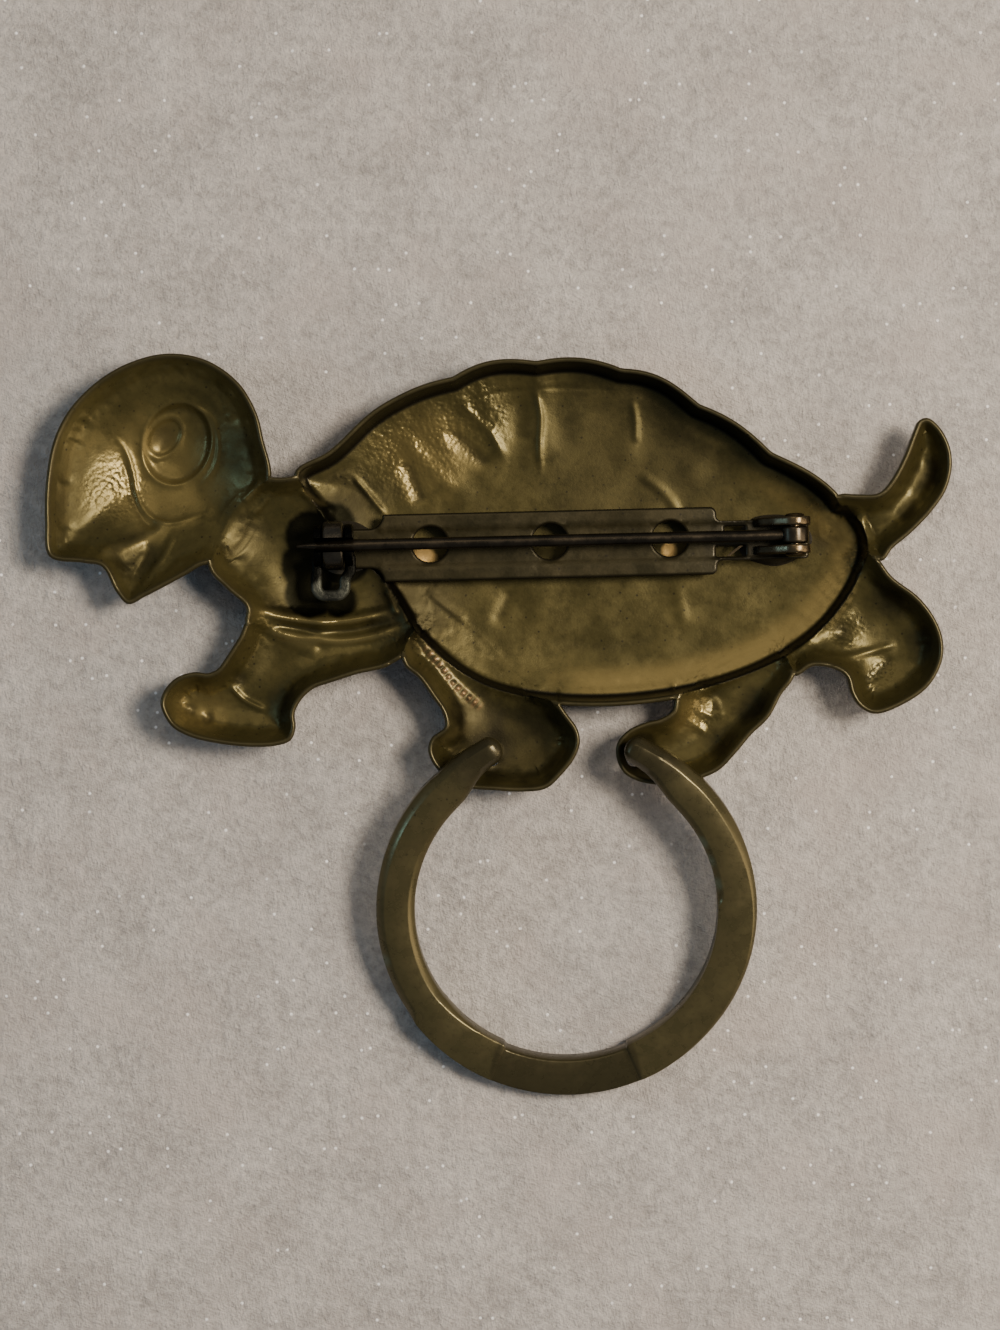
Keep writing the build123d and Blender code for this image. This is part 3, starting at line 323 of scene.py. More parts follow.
def inside_distance(points, loop):
    """Distance from each point to a closed loop: positive inside it, negative outside."""
    distance, _ = line_distance(points, np.vstack([loop, loop[:1]]), FAR_IN, FAR_OUT)
    inside = np.zeros(len(points), bool)
    near = np.nonzero(np.all((points > loop.min(axis=0)) & (points < loop.max(axis=0)), axis=1))[0]
    start, end = loop, np.roll(loop, -1, axis=0)
    rise = np.where(end[:, 1] == start[:, 1], 1.0, end[:, 1] - start[:, 1])
    for part in np.array_split(near, ceil(len(near) / 6000) or 1):
        x, y = points[part, :1], points[part, 1:]
        crosses = (start[:, 1] > y) != (end[:, 1] > y)
        cut = start[:, 0] + (y - start[:, 1]) / rise * (end[:, 0] - start[:, 0])
        inside[part] = np.sum(crosses & (x < cut), axis=1) % 2 == 1
    return np.where(inside, distance, -distance)


def scalloped(loop):
    """The shell's outline with scallops pressed into its upper edge, counted from the tail."""
    first = np.argmin(np.linalg.norm(loop - place("shell", (0.953, 0.60)), axis=1))
    turned = np.roll(loop, -first, axis=0)
    if turned[1, 0] > turned[0, 0] or turned[1, 1] < turned[0, 1]:
        turned = np.roll(turned[::-1], 1, axis=0)
    travelled = np.concatenate([[0.0], np.cumsum(np.linalg.norm(np.diff(turned, axis=0), axis=1))])
    waves = np.abs(np.sin(np.pi * travelled / SCALLOP_LENGTH)) - 1.0
    waves[travelled > (SCALLOPS + 0.5) * SCALLOP_LENGTH] = 0.0
    return turned + inward_normals(turned) * (-SCALLOP_RISE * waves)[:, None]


def line_path(line, step):
    return smooth_path([place(line.limb, point) for point in line.points], False, step)


LOOPS = {}
for name, rows in OUTLINES.items():
    LOOPS[name] = smooth_path([place(name, row) for row in rows], closed=True, step=RIM_STEP)
LOOPS["shell"] = scalloped(LOOPS["shell"])
BROAD_PATHS = [line_path(line, 0.4) for line in BROAD_LINES]
FINE_PATHS = [line_path(line, 0.2) for line in FINE_LINES]
ROPE_PATH = line_path(ROPE_LINE, 0.2)
Oval = namedtuple("Oval", "middle length height lean")
EYE = Oval(place("head", (0.588, 0.650)), 5.4, 6.5, radians(18.0))
PUPIL = Oval(place("head", (0.529, 0.677)), 2.1, 3.1, radians(35.0))
PEGS = [place(name, (along, up)) for name, along, up in PEG_SHARES]


def oval_radius(points, oval):
    """Distance from an oval's middle, where 1 is on the oval, which leans to the back of the head."""
    turn = np.array([[cos(oval.lean), sin(oval.lean)], [-sin(oval.lean), cos(oval.lean)]])
    turned = (points - oval.middle) @ turn
    return np.hypot(turned[:, 0] / (oval.length / 2), turned[:, 1] / (oval.height / 2))


def swell(distance, width):
    """A rounded ridge's share of its height at a distance from its middle."""
    return np.exp(-((distance / width) ** 2))


def slot_distance(points):
    """Distance to the nearer of the two slots that the ring's pegs pass through: negative inside it."""
    long = SLOT_HALF_LENGTH - SLOT_HALF_WIDTH
    gaps = []
    for peg in PEGS:
        x, y = (points - peg + [0.0, SLOT_DROP]).T
        gaps.append(np.hypot(x, y - np.clip(y, -long, long)) - SLOT_HALF_WIDTH)
    return np.min(gaps, axis=0)


def rope_fold(points):
    """The twisted fold's share of its height at each point, and its turns up to there."""
    distance, passed = line_distance(points, ROPE_PATH, 3.2 * ROPE_LINE.half_width)
    turns = np.linalg.norm(np.diff(ROPE_PATH, axis=0), axis=1).sum() / ROPE_PITCH
    ends = np.clip(np.minimum(passed, 1.0 - passed) / 0.1, 0.0, 1.0)
    return ends * swell(distance, ROPE_LINE.half_width), turns * passed


def relief_height(points):
    """Rise of the engraved lines, dimples and ovals above the smooth hollow."""
    height = np.zeros(len(points))
    for line, path in zip(FINE_LINES, FINE_PATHS):
        distance, passed = line_distance(points, path, 3.2 * line.half_width)
        ends = np.clip(np.minimum(passed, 1.0 - passed) / 0.16, 0.15, 1.0)
        height += line.rise * ends * swell(distance, line.half_width)
    height += ROPE_LINE.rise * rope_fold(points)[0]
    for dimple in DIMPLES:
        gap = np.linalg.norm(points - place(dimple.limb, (dimple.along, dimple.up)), axis=1)
        height += dimple.rise * swell(gap, dimple.radius)
    eye, pupil = oval_radius(points, EYE), oval_radius(points, PUPIL)
    height += EYE_RING * swell((eye - 0.98) * EYE.length / 2, 0.20)
    height -= EYE_GROOVE * swell((eye - 0.80) * EYE.length / 2, 0.30)
    height += EYE_RING * swell((pupil - 1.1) * PUPIL.length / 2, 0.20)
    height -= PUPIL_HOLLOW * np.clip(1.0 - pupil * pupil, 0.0, 1.0)
    return height


def stamped_heights(points, on_rim):
    """Heights of the hollow back and of the front, the engraved relief by itself, and the rim's distance."""
    distances = {name: inside_distance(points, loop) for name, loop in LOOPS.items()}
    edge = np.max(list(distances.values()), axis=0)
    relief = relief_height(points)
    sides = []
    for inward in (0.0, SHEET):
        total = np.zeros(len(points))
        for limb in LIMBS:
            inside = np.clip(distances[limb.name] + inward - RIM_WIDTH, 0.0, None)
            left = 1.0 - np.clip(inside / limb.wall, 0.0, 1.0)
            slope = 1.0 / (1.0 - WALL_FILLET / 2)
            rounded_in = 1.0 - slope * left * left / (2 * WALL_FILLET)
            wall = np.where(left < WALL_FILLET, rounded_in, slope * (1.0 - left))
            bowl = 1.0 - (1.0 - np.clip(inside / limb.bowl, 0.0, 1.0)) ** 2
            total += (limb.depth * (limb.steep * wall + (1 - limb.steep) * bowl)) ** JOIN_POWER
        depth = total ** (1 / JOIN_POWER)
        settled = np.clip(depth / RELIEF_DEPTH, 0.0, 1.0)
        past = distances["shell"] - BORDER_INSET
        ridge = BORDER_RIDGE * swell(past, np.where(past > 0, BORDER_INSIDE, BORDER_OUTSIDE))
        for line, path in zip(BROAD_LINES, BROAD_PATHS):
            distance, _ = line_distance(points, path, 3 * line.half_width)
            ridge += line.rise * swell(distance, line.half_width)
        eye = oval_radius(points, EYE)
        depth += settled * (EYE_DEPTH * np.clip(1.4 * (1 - eye * eye), 0.0, 1.0) - ridge)
        rippled = [RIPPLE * noise.noise(Vector((x, y, 3.0)) * RIPPLES_PER_MM) for x, y in points]
        depth -= settled * (relief + np.array(rippled))
        sides.append(np.minimum(depth, SHELL_DEPTH + 0.25 - 0.35 * inward))
    outer = np.clip(1.0 - edge / RIM_ROUNDING, 0.0, 1.0)
    inner = np.clip(1.0 - (RIM_WIDTH - edge) / RIM_ROUNDING, 0.0, 1.0)
    back = RIM_Z - sides[0] - RIM_ROUNDING * (outer ** 2 + 0.7 * inner ** 2)
    front = RIM_Z - SHEET - np.minimum(sides[1], SHELL_DEPTH)
    front[on_rim] = RIM_Z - RIM_EDGE
    return back, np.minimum(front, back - THINNEST), relief, edge


def clear_of(points, taken, cell):
    """True for the points with no taken one in their own or in a neighbouring cell."""
    low = np.minimum(points.min(axis=0), taken.min(axis=0)) - 2 * cell
    high = np.maximum(points.max(axis=0), taken.max(axis=0)) + 2 * cell
    full = np.zeros(tuple(np.ceil((high - low) / cell).astype(int) + 2), bool)
    full[tuple(((taken - low) / cell).astype(int).T)] = True
    column, row = ((points - low) / cell).astype(int).T
    near = np.zeros(len(points), bool)
    for i in (-1, 0, 1):
        for j in (-1, 0, 1):
            near |= full[column + i, row + j]
    return ~near


def staggered_grid(low, high, step):
    rows = []
    along = np.arange(low[0], high[0], step)
    for j, y in enumerate(np.arange(low[1], high[1], step * 0.866)):
        rows.append(np.column_stack([along + (j % 2) * step / 2, np.full(len(along), y)]))
    return np.vstack(rows)


def chained(loop, first):
    """Edges that close a loop whose first point has the given number."""
    count = len(loop)
    return [(first + i, first + (i + 1) % count) for i in range(count)]


def softened(heights, triangles, fixed, rounds=8):
    """Heights eased towards their neighbours', so that no crease is left where two walls meet."""
    corners = np.array(triangles)
    ends = np.vstack([corners[:, [0, 1]], corners[:, [1, 2]], corners[:, [2, 0]]])
    ends = np.vstack([ends, ends[:, ::-1]])
    count = np.maximum(np.bincount(ends[:, 0], minlength=len(heights)), 1)
    for _ in range(rounds):
        around = np.bincount(ends[:, 0], weights=heights[ends[:, 1]], minlength=len(heights)) / count
        heights = np.where(fixed, heights, (heights + around) / 2)
    return heights


def triangulate(plan, edges, keep):
    """Triangles of a plan, cut out where keep says, and the directed edges along their border."""
    corners, _, faces, _, _, _ = delaunay_2d_cdt([Vector(p) for p in plan], edges, [], 0, 1e-5, False)
    points, triangles = np.array([tuple(c) for c in corners]), np.array([tuple(f) for f in faces])
    a, b, c = (points[triangles[:, k]] for k in range(3))
    turn = (b[:, 0] - a[:, 0]) * (c[:, 1] - a[:, 1]) - (b[:, 1] - a[:, 1]) * (c[:, 0] - a[:, 0])
    triangles[turn < 0] = triangles[turn < 0][:, ::-1]
    triangles = triangles[(np.abs(turn) > 1e-9) & keep(points[triangles].mean(axis=1))]
    used, numbers = np.unique(triangles, return_inverse=True)
    points, triangles = points[used], numbers.reshape(-1, 3)
    sides = np.vstack([triangles[:, [0, 1]], triangles[:, [1, 2]], triangles[:, [2, 0]]])
    codes, back_codes = sides @ [len(points), 1], sides @ [1, len(points)]
    return points, triangles, sides[~np.isin(codes, back_codes)]


def new_mesh(name, corners, faces, sharp=40.0):
    """A smooth-shaded object from corners in millimetres, with its creases kept sharp."""
    mesh = bpy.data.meshes.new(name)
    mesh.from_pydata([tuple(c) for c in np.array(corners) * MM], [], [tuple(map(int, f)) for f in faces])
    mesh.validate()
    mesh.shade_smooth()
    mesh.set_sharp_from_angle(angle=radians(sharp))
    made = bpy.data.objects.new(name, mesh)
    bpy.context.scene.collection.objects.link(made)
    return made


def sheet_object(name, points, triangles, border, upper, lower):
    """A closed sheet between two heights over the same plan."""
    count = len(points)
    corners = np.vstack([np.column_stack([points, upper]), np.column_stack([points, lower])])
    faces = [*triangles, *(triangles[:, ::-1] + count)]
    faces += [(i + count, j + count, j, i) for i, j in border]
    return new_mesh(name, corners, faces)


def vertex_values(piece, name, values):
    """Stores one number for every corner of a piece, which its material reads by name."""
    piece.data.attributes.new(name, "FLOAT", "POINT").data.foreach_set("value", np.array(values, np.float32))


def circle(middle, radius, count):
    turns = np.linspace(0.0, tau, count, endpoint=False)
    return np.array(middle) + radius * np.column_stack([np.cos(turns), np.sin(turns)])


def sheet_inset(points):
    """How far each point lies inside the rim of the whole sheet."""
    return np.max([inside_distance(points, loop) for loop in LOOPS.values()], axis=0)


def turtle_plan():
    """Points of the sheet in plan, and the edges that its triangles must keep."""
    rim, edges, rows, seams = [], [], [], []
    for name, loop in LOOPS.items():
        others = np.max([inside_distance(loop, other) for n, other in LOOPS.items() if n != name], axis=0)
        outside = others < 0.0
        kept = outside | np.roll(outside, 1) | np.roll(outside, -1)
        numbers = len(rim) + np.cumsum(kept) - 1
        following = np.roll(numbers, -1)
        for i in np.nonzero(outside | np.roll(outside, -1))[0]:
            edges.append((int(numbers[i]), int(following[i])))
        rim.extend(loop[kept])
        normals = inward_normals(loop)
        for inset in RIM_ROWS:
            rows.append(np.insert((loop + normals * inset)[outside], 2, inset, axis=1))
        for inset in SEAM_ROWS:
            seams.append((loop + normals * inset)[others > 0.3])
    for peg in PEGS:
        slot = circle((0.0, 0.0), SLOT_HALF_WIDTH, 24)
        slot[:, 1] += (SLOT_HALF_LENGTH - SLOT_HALF_WIDTH) * np.sign(slot[:, 1] + 1e-9)
        edges += chained(slot, len(rim))
        rim.extend(slot + peg - [0.0, SLOT_DROP])
    rim, rows = np.array(rim), np.vstack(rows)
    on_row = np.abs(sheet_inset(rows[:, :2]) - rows[:, 2]) < 0.02
    rows = rows[on_row & (slot_distance(rows[:, :2]) > 0.1)][:, :2]
    seams = np.vstack(seams)
    seams = seams[(sheet_inset(seams) > 0.3) & (slot_distance(seams) > 0.15)]
    rows = np.vstack([rows, seams[clear_of(seams, rows, 0.1)]])
    low, high = rim.min(axis=0), rim.max(axis=0)
    floor = []
    for step in (FINE_STEP, GRID_STEP):
        grid = staggered_grid(low, high, step)
        fine = np.zeros(len(grid), bool)
        for line, path in list(zip(FINE_LINES, FINE_PATHS)) + [(ROPE_LINE, ROPE_PATH)]:
            if line.half_width < 0.42 or line.rise > 0.3:
                distance, _ = line_distance(grid, path, 1.5)
                fine |= distance < 1.8 * line.half_width
        fine |= (np.abs(oval_radius(grid, EYE) - 0.95) < 0.14) | (oval_radius(grid, PUPIL) < 1.4)
        grid = grid[fine == (step == FINE_STEP)]
        grid = grid[slot_distance(grid) > 0.15]
        grid = grid[clear_of(grid, rows, 0.4 * step)]
        if floor:
            grid = grid[clear_of(grid, floor[0], 0.5 * FINE_STEP)]
        floor.append(grid[sheet_inset(grid) > 0.08])
    return np.vstack([rim, rows, *floor]), edges


def in_turtle(points):
    return (sheet_inset(points) > 0.0) & (slot_distance(points) > 0.0)


plan, kept_edges = turtle_plan()
points, triangles, border = triangulate(plan, kept_edges, in_turtle)
on_rim = np.unique(border)
on_rim = on_rim[slot_distance(points[on_rim]) > 0.05]
back, front, relief, edge = stamped_heights(points, on_rim)
back = softened(back - relief, triangles, edge < 0.95) + relief
front = np.minimum(front, back - THINNEST)
turtle = sheet_object("stamped_turtle", points, triangles, border, back, front)
vertex_values(turtle, "relief", np.concatenate([relief, -relief]))
vertex_values(turtle, "rim", np.concatenate([edge, edge]))
shell_edge = inside_distance(points, LOOPS["shell"])
vertex_values(turtle, "shell_edge", np.concatenate([shell_edge, shell_edge]))
fold, fold_turns = rope_fold(points)
vertex_values(turtle, "fold", np.concatenate([fold, 0.0 * fold]))
vertex_values(turtle, "fold_turns", np.concatenate([fold_turns, fold_turns]))


def feed(socket, value):
    """Links a shade to a node's input, or gives the input a plain value."""
    if isinstance(value, Shade):
        value.tree.links.new(value.socket, socket)
    else:
        socket.default_value = value


class Shade:
    """A socket in a material's tree: expressions on it add Math nodes, and node() adds any other."""

    def __init__(self, tree, socket=None):
        self.tree = tree
        self.socket = socket

    def node(self, kind, settings=(), inputs=(), output=0):
        """A node of the given type, its settings first, then the values or links of its sockets."""
        made = self.tree.nodes.new("ShaderNode" + kind)
        for name, value in dict(settings).items():
            setattr(made, name, value)
        for key, value in dict(inputs).items():
            feed(made.inputs[key], value)
        return Shade(self.tree, made.outputs[output])

    def maths(self, operation, first, second):
        return self.node("Math", {"operation": operation}, {0: first, 1: second})

    def __add__(self, other):
        return self.maths("ADD", self, other)

    def __sub__(self, other):
        return self.maths("SUBTRACT", self, other)

    def __rsub__(self, other):
        return self.maths("SUBTRACT", other, self)

    def __mul__(self, other):
        return self.maths("MULTIPLY", self, other)

    __radd__ = __add__
    __rmul__ = __mul__

    def at_least(self, other):
        return self.maths("MAXIMUM", self, other)

    def at_most(self, other):
        return self.maths("MINIMUM", self, other)

    def stored(self, name):
        """The number that the piece's corners hold under a name."""
        return self.node("Attribute", {"attribute_name": name}, output="Fac")

    def rises(self, low, high):
        """0 below the low value and 1 above the high one, eased between them."""
        span = {"Value": self, "From Min": low, "From Max": high}
        return self.node("MapRange", {"interpolation_type": "SMOOTHSTEP"}, span)

    def blend(self, below, above):
        """The colour below where this mask is 0, and the one above where it is 1."""
        return self.node("Mix", {"data_type": "RGBA"}, {0: self, 6: below, 7: above}, output=2)

    def speckle(self, size, detail=3.0, roughness=0.6):
        """Noise on these coordinates whose patches are about the given number of millimetres."""
        sizes = {"Vector": self, "Scale": 1.0 / (size * MM), "Detail": detail, "Roughness": roughness}
        return self.node("TexNoise", (), sizes)

    def near(self, spot, radius, soft):
        """1 within a radius of a spot in millimetres, with a soft ragged edge."""
        gap = self.node("VectorMath", {"operation": "DISTANCE"}, {0: self, 1: Vector(spot) * MM}, "Value")
        ragged = gap + (self.speckle(1.4) - 0.5) * (soft * MM)
        return 1 - ragged.rises((radius - soft) * MM, radius * MM)

    def on_limb(self, spot, soft):
        """1 on a spot of a limb, with an edge as soft as given."""
        return self.near((*place(spot.limb, (spot.along, spot.up)), spot.height), spot.radius, soft)


class Finish:
    """Antiqued brass: olive and golden patches with fine grain and dark pits. A piece lays its own
    colours over that before coat() makes it the piece's material."""

    def __init__(self, name, patina, pit_share, grain, grain_size=0.16):
        self.material = bpy.data.materials.new(name)
        self.material.use_nodes = True
        self.here = here = Shade(self.material.node_tree).node("TexCoord", output="Object")
        drift = here.speckle(6.0, 2.0).rises(0.36, 0.66)
        cloud = here.speckle(1.6, 4.0, 0.6).rises(0.32, 0.72)
        fine = here.speckle(0.40, 4.0, 0.65)
        grains = here.speckle(grain_size, 3.0, 0.65)
        self.color = (drift * 0.45 + cloud * 0.4).blend((*patina.olive, 1), (*patina.gold, 1))
        self.cover((1 - fine.rises(0.30, 0.50)) * 0.14, patina.grime)
        cells = {"Vector": here, "Scale": 1.0 / (0.6 * MM)}
        cell_middle = here.node("TexVoronoi", (), cells)
        cell_random = here.node("TexVoronoi", (), cells, output="Color")
        pits = (1 - cell_middle.rises(0.08, 0.20)) * cell_random.rises(1.0 - pit_share, 1.02 - pit_share)
        self.cover(pits * 0.8, patina.grime)
        self.rough = cloud * (patina.rough_high - patina.rough_low) + patina.rough_low
        self.metal = patina.metal
        self.height = grains * grain + fine * (1.8 * grain)

    def cover(self, mask, color):
        """Lays a colour over the finish as far as the mask says."""
        self.color = mask.blend(self.color, (*color, 1))

    def coat(self, piece, specular=0.5):
        """Feeds the finish to its shader, with its relief in millimetres, and coats a piece with it."""
        shader = self.material.node_tree.nodes["Principled BSDF"]
        bump = self.here.node("Bump", (), {"Strength": 1.0, "Distance": MM, "Height": self.height})
        feed(shader.inputs["Base Color"], self.color)
        feed(shader.inputs["Roughness"], self.rough)
        feed(shader.inputs["Metallic"], self.metal)
        feed(shader.inputs["Normal"], bump)
        shader.inputs["Specular IOR Level"].default_value = specular
        piece.data.materials.append(self.material)


Patina = namedtuple("Patina", "olive gold grime rough_low rough_high metal")
BRASS = Patina((0.049, 0.041, 0.0135), (0.076, 0.062, 0.0205), (0.015, 0.013, 0.007), 0.27, 0.38, 0.54)
# Spots of other tones and dents, each by its place in a limb's box, its height and its radius
Spot = namedtuple("Spot", "limb along up height radius share", defaults=[1.0])
HAMMERED_SPOTS = (      # small dents that sparkle
    Spot("head", 0.29, 0.46, 1.2, 3.4),
    Spot("shell", 0.20, 0.74, 1.4, 5.0),
    Spot("shell", 0.30, 0.84, 2.0, 4.4),
    Spot("third_leg", 0.47, 0.70, 2.3, 2.0),
    Spot("rear_leg", 0.38, 0.62, 2.3, 1.9),
    Spot("rear_leg", 0.62, 0.30, 2.4, 1.6),
)
RUBBED_AND_SHEEN_SPOTS = (        # rubbed metal, with painted sheen where lit slopes catch the lamp
    Spot("shell", 0.23, 0.72, 1.2, 5.0, 0.35),
    Spot("head", 0.50, 0.55, 1.2, 6.5, 0.30),
    Spot("front_leg", 0.16, 0.30, 2.3, 3.0, 0.30),
    Spot("third_leg", 0.40, 0.68, 2.3, 2.4, 0.40),
)
PAINTED_SHADE_SPOTS = (          # painted shade: darker, rougher patches on walls turned from the lamp and over slopes whose highlight they dim
    Spot("second_leg", 0.66, 0.38, 2.2, 4.6, 0.55),
    Spot("second_leg", 0.38, 0.57, 2.0, 3.0, 0.75),
    Spot("shell", 0.215, 0.300, 1.4, 5.2, 0.75),
    Spot("head", 0.12, 0.42, 2.6, 4.2, 0.30),
    Spot("shell", 0.165, 0.630, 1.6, 1.8, 0.55),
    Spot("shell", 0.090, 0.575, 1.6, 3.8, 0.65),
    Spot("shell", 0.926, 0.489, 1.4, 1.9, 0.75),
    Spot("neck", 0.16, 0.65, 2.2, 2.6, 0.50),
    Spot("neck", 0.34, 0.36, 2.2, 2.2, 0.50),
    Spot("head", 0.40, 0.20, 2.4, 2.6, 0.40),
    Spot("front_leg", 0.56, 0.35, 2.6, 2.4, 0.50),
    Spot("third_leg", 0.80, 0.72, 2.6, 2.2, 0.65),
    Spot("third_leg", 0.64, 0.40, 2.6, 2.0, 0.50),
    Spot("rear_leg", 0.93, 0.55, 2.6, 2.2, 0.65),
    Spot("rear_leg", 0.70, 0.90, 2.6, 2.4, 0.65),
    Spot("tail", 0.88, 0.60, 2.6, 2.0, 0.65),
    Spot("tail", 0.66, 0.32, 2.6, 1.6, 0.55),
    Spot("shell", 0.60, 0.70, 0.8, 11.0, 0.45),
    Spot("shell", 0.08, 0.52, 1.2, 3.4, 0.45),
    Spot("neck", 0.75, 0.62, 2.0, 3.0, 0.35),
    Spot("head", 0.90, 0.62, 1.6, 3.6, 0.35),
)
HOLE_LIGHT_SPOTS = (          # painted light: bright patches on the floor seen through two of the bar's holes, where the lamp shines in
    Spot("shell", 0.222, 0.424, 0.8, 1.15),
    Spot("shell", 0.653, 0.451, 0.7, 0.75),
)
FLUX_SPOTS = (          # burnt on in the neck, where the bar's end is soldered
    Spot("neck", 0.450, 0.678, 2.1, 2.2),
    Spot("neck", 0.440, 0.530, 2.0, 2.3),
    Spot("neck", 0.450, 0.396, 2.2, 2.2),
    Spot("neck", 0.572, 0.752, 2.1, 2.0),
    Spot("neck", 0.586, 0.366, 2.2, 1.6),
    Spot("neck", 0.600, 0.560, 2.0, 2.2),
)
RUBBED_GOLD_AND_SHEEN = (0.21, 0.158, 0.055)
PAINTED_SHADE = (0.024, 0.021, 0.012)
PAINTED_HOLE_LIGHT = (0.54, 0.36, 0.13)
PAINTED_FOOT_SHEEN = (0.165, 0.125, 0.044)       # painted sheen: a lighter band at the foot of the shell's lower wall
PAINTED_WALL_SHADE = (0.009, 0.008, 0.005)
WORN_RIDGE = (0.150, 0.120, 0.046)
CUT_RIM = (0.032, 0.028, 0.016)
BURNT_FLUX = (0.009, 0.0085, 0.0045)
DARK_FOLD = (0.034, 0.028, 0.014)
PAINTED_BEAD_GLINT = (0.20, 0.125, 0.060)
finish = Finish("antiqued_stamping", BRASS, 0.40, 0.005)
here = finish.here
worn = here.stored("relief").rises(0.08, 0.30)
sunk = 1 - here.stored("relief").rises(-0.16, -0.02)
for spot in RUBBED_AND_SHEEN_SPOTS:
    finish.cover(here.on_limb(spot, 0.7 * spot.radius) * spot.share, RUBBED_GOLD_AND_SHEEN)
dull = 0.0
for spot in PAINTED_SHADE_SPOTS:
    shade_patch = here.on_limb(spot, 0.7 * spot.radius) * spot.share
    finish.cover(shade_patch, PAINTED_SHADE)
    dull = shade_patch.at_least(dull)
for spot in HOLE_LIGHT_SPOTS:
    finish.cover(here.on_limb(spot, 0.4), PAINTED_HOLE_LIGHT)
border = here.stored("shell_edge")
foot_sheen = border.rises(0.80, 1.10) * (1 - border.rises(1.8, 3.6))
foot_sheen = foot_sheen * here.near((*place("shell", (0.80, 0.10)), 1.4), 17.0, 6.0)
finish.cover(foot_sheen * 0.7, PAINTED_FOOT_SHEEN)
# Painted shade on the shell's narrow steep wall, just inside its rim.
wall_shade = border.rises(0.28, 0.40) * (1 - border.rises(0.80, 1.05))
finish.cover(wall_shade * 0.95, PAINTED_WALL_SHADE)
finish.cover(worn * 0.5, WORN_RIDGE)
finish.cover(sunk * 0.4, BRASS.grime)
# Painted shade round the slots that the ring's pegs pass through.
for peg in PEGS:
    finish.cover(here.near((*peg, RIM_Z - LEG_DEPTH + 0.4), 2.2, 1.0) * 0.75, BRASS.grime)
finish.cover((1 - here.stored("rim").rises(0.20, 0.60)) * 0.6, CUT_RIM)
flux = reduce(Shade.at_least, [here.on_limb(spot, 0.5) for spot in FLUX_SPOTS])
finish.cover(flux, BURNT_FLUX)
hammered = reduce(Shade.at_least, [here.on_limb(spot, 0.6 * spot.radius) for spot in HAMMERED_SPOTS])
dents = here.node("TexVoronoi", {"feature": "SMOOTH_F1"}, {"Vector": here, "Scale": 1.0 / (0.30 * MM)})
finish.height = finish.height + hammered * (dents * 0.045 + here.speckle(0.9, 2.0) * 0.03)
fold_value = here.stored("fold")
fold_turn = here.stored("fold_turns") * tau
bead = fold_turn.node("Math", {"operation": "COSINE"}, {0: fold_turn})
finish.height = finish.height + fold_value * fold_value * bead * 0.03
# Painted glints: a reddish gold on the crests of the fold's beads, over a darker fold.
bead_glints = fold_value * bead.rises(-0.8, 0.7) * here.speckle(0.8).rises(0.36, 0.60)
finish.cover(fold_value * 0.6, DARK_FOLD)
finish.cover(bead_glints * 0.8, PAINTED_BEAD_GLINT)
finish.rough = finish.rough - worn * 0.06 - hammered * 0.05 + flux * 0.10 + dull * 0.24
crust = flux.at_least((dull * 1.3).at_most(1.0))
finish.metal = crust * (0.98 - BRASS.metal) + BRASS.metal
finish.coat(turtle, 0.17)
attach(turtle, "brooch")
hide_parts("turtle_body")


# Bar of the pin finding: a thin brass strip with rolled edges, three holes and two small windows from
# which its hinge ears were folded up. It is soldered into the hollow at both of its narrow ends.
CATCH = np.array(joints["catch_turn"]["pos_m"]) / MM
HINGE = np.array(joints["pin_hinge"]["pos_m"]) / MM
PIN_SPAN = hypot(*(HINGE - CATCH)[:2])
BAR_TURN = atan2(*(HINGE - CATCH)[1::-1])
PIN_HEIGHT = CATCH[2]
PLATE_TOP = 2.5
PLATE_THICKNESS = 0.6
PLATE_START = 3.7       # from the catch to the plate's wide part
PLATE_END = PLATE_START + PIN_SPAN - 9.5
PLATE_DROP = 0.23       # the plate's middle lies this far below the pin
HALF_WIDE = 2.575
HALF_NARROW = 1.5
HINGE_END = PIN_SPAN + 1.2
CATCH_END = -0.775
SHOULDER = 1.05
PLATE_HOLE_RADIUS = 1.36
PLATE_HOLE_SPACING = 9.13
PLATE_LIP = 0.13        # the plate's middle is pressed this much lower than its long edges
LIP_START = 1.25        # from the plate's middle line to the foot of each raised edge
EDGE_ROUNDING = 0.14
PLATE_STEP = 0.30
WINDOWS = (             # start and end, from the end of the wide part, and the low and the high side
    (-0.1, 2.2, -1.45, -0.62),
    (0.6, 2.2, 0.30, 0.86),
)


def on_bar(corners):
    """Points given along the bar from the catch, across it and up, moved to their place."""
    corners = np.asarray(corners, float)
    turn = np.array([[cos(BAR_TURN), sin(BAR_TURN)], [-sin(BAR_TURN), cos(BAR_TURN)]])
    return np.column_stack([corners[:, :2] @ turn + CATCH[:2], corners[:, 2:]])


def rounded(corners, radii, step=0.15):
    """A closed outline with each corner rounded by its own radius."""
    corners = [np.array(c, float) for c in corners]
    outline = []
    for i, corner in enumerate(corners):
        back, ahead = corners[i - 1] - corner, corners[(i + 1) % len(corners)] - corner
        back, ahead = back / np.linalg.norm(back), ahead / np.linalg.norm(ahead)
        half = acos(np.clip(back @ ahead, -1.0, 1.0)) / 2
        reach = radii[i] / np.tan(half)
        middle = corner + (back + ahead) / np.linalg.norm(back + ahead) * radii[i] / sin(half)
        start, end = corner + back * reach - middle, corner + ahead * reach - middle
        sweep = atan2(start[0] * end[1] - start[1] * end[0], start @ end)
        for share in np.linspace(0.0, 1.0, max(3, ceil(abs(sweep) * radii[i] / step) + 1)):
            turn = sweep * share
            x = start[0] * cos(turn) - start[1] * sin(turn)
            y = start[0] * sin(turn) + start[1] * cos(turn)
            outline.append(middle + [x, y])
    return np.array(outline)


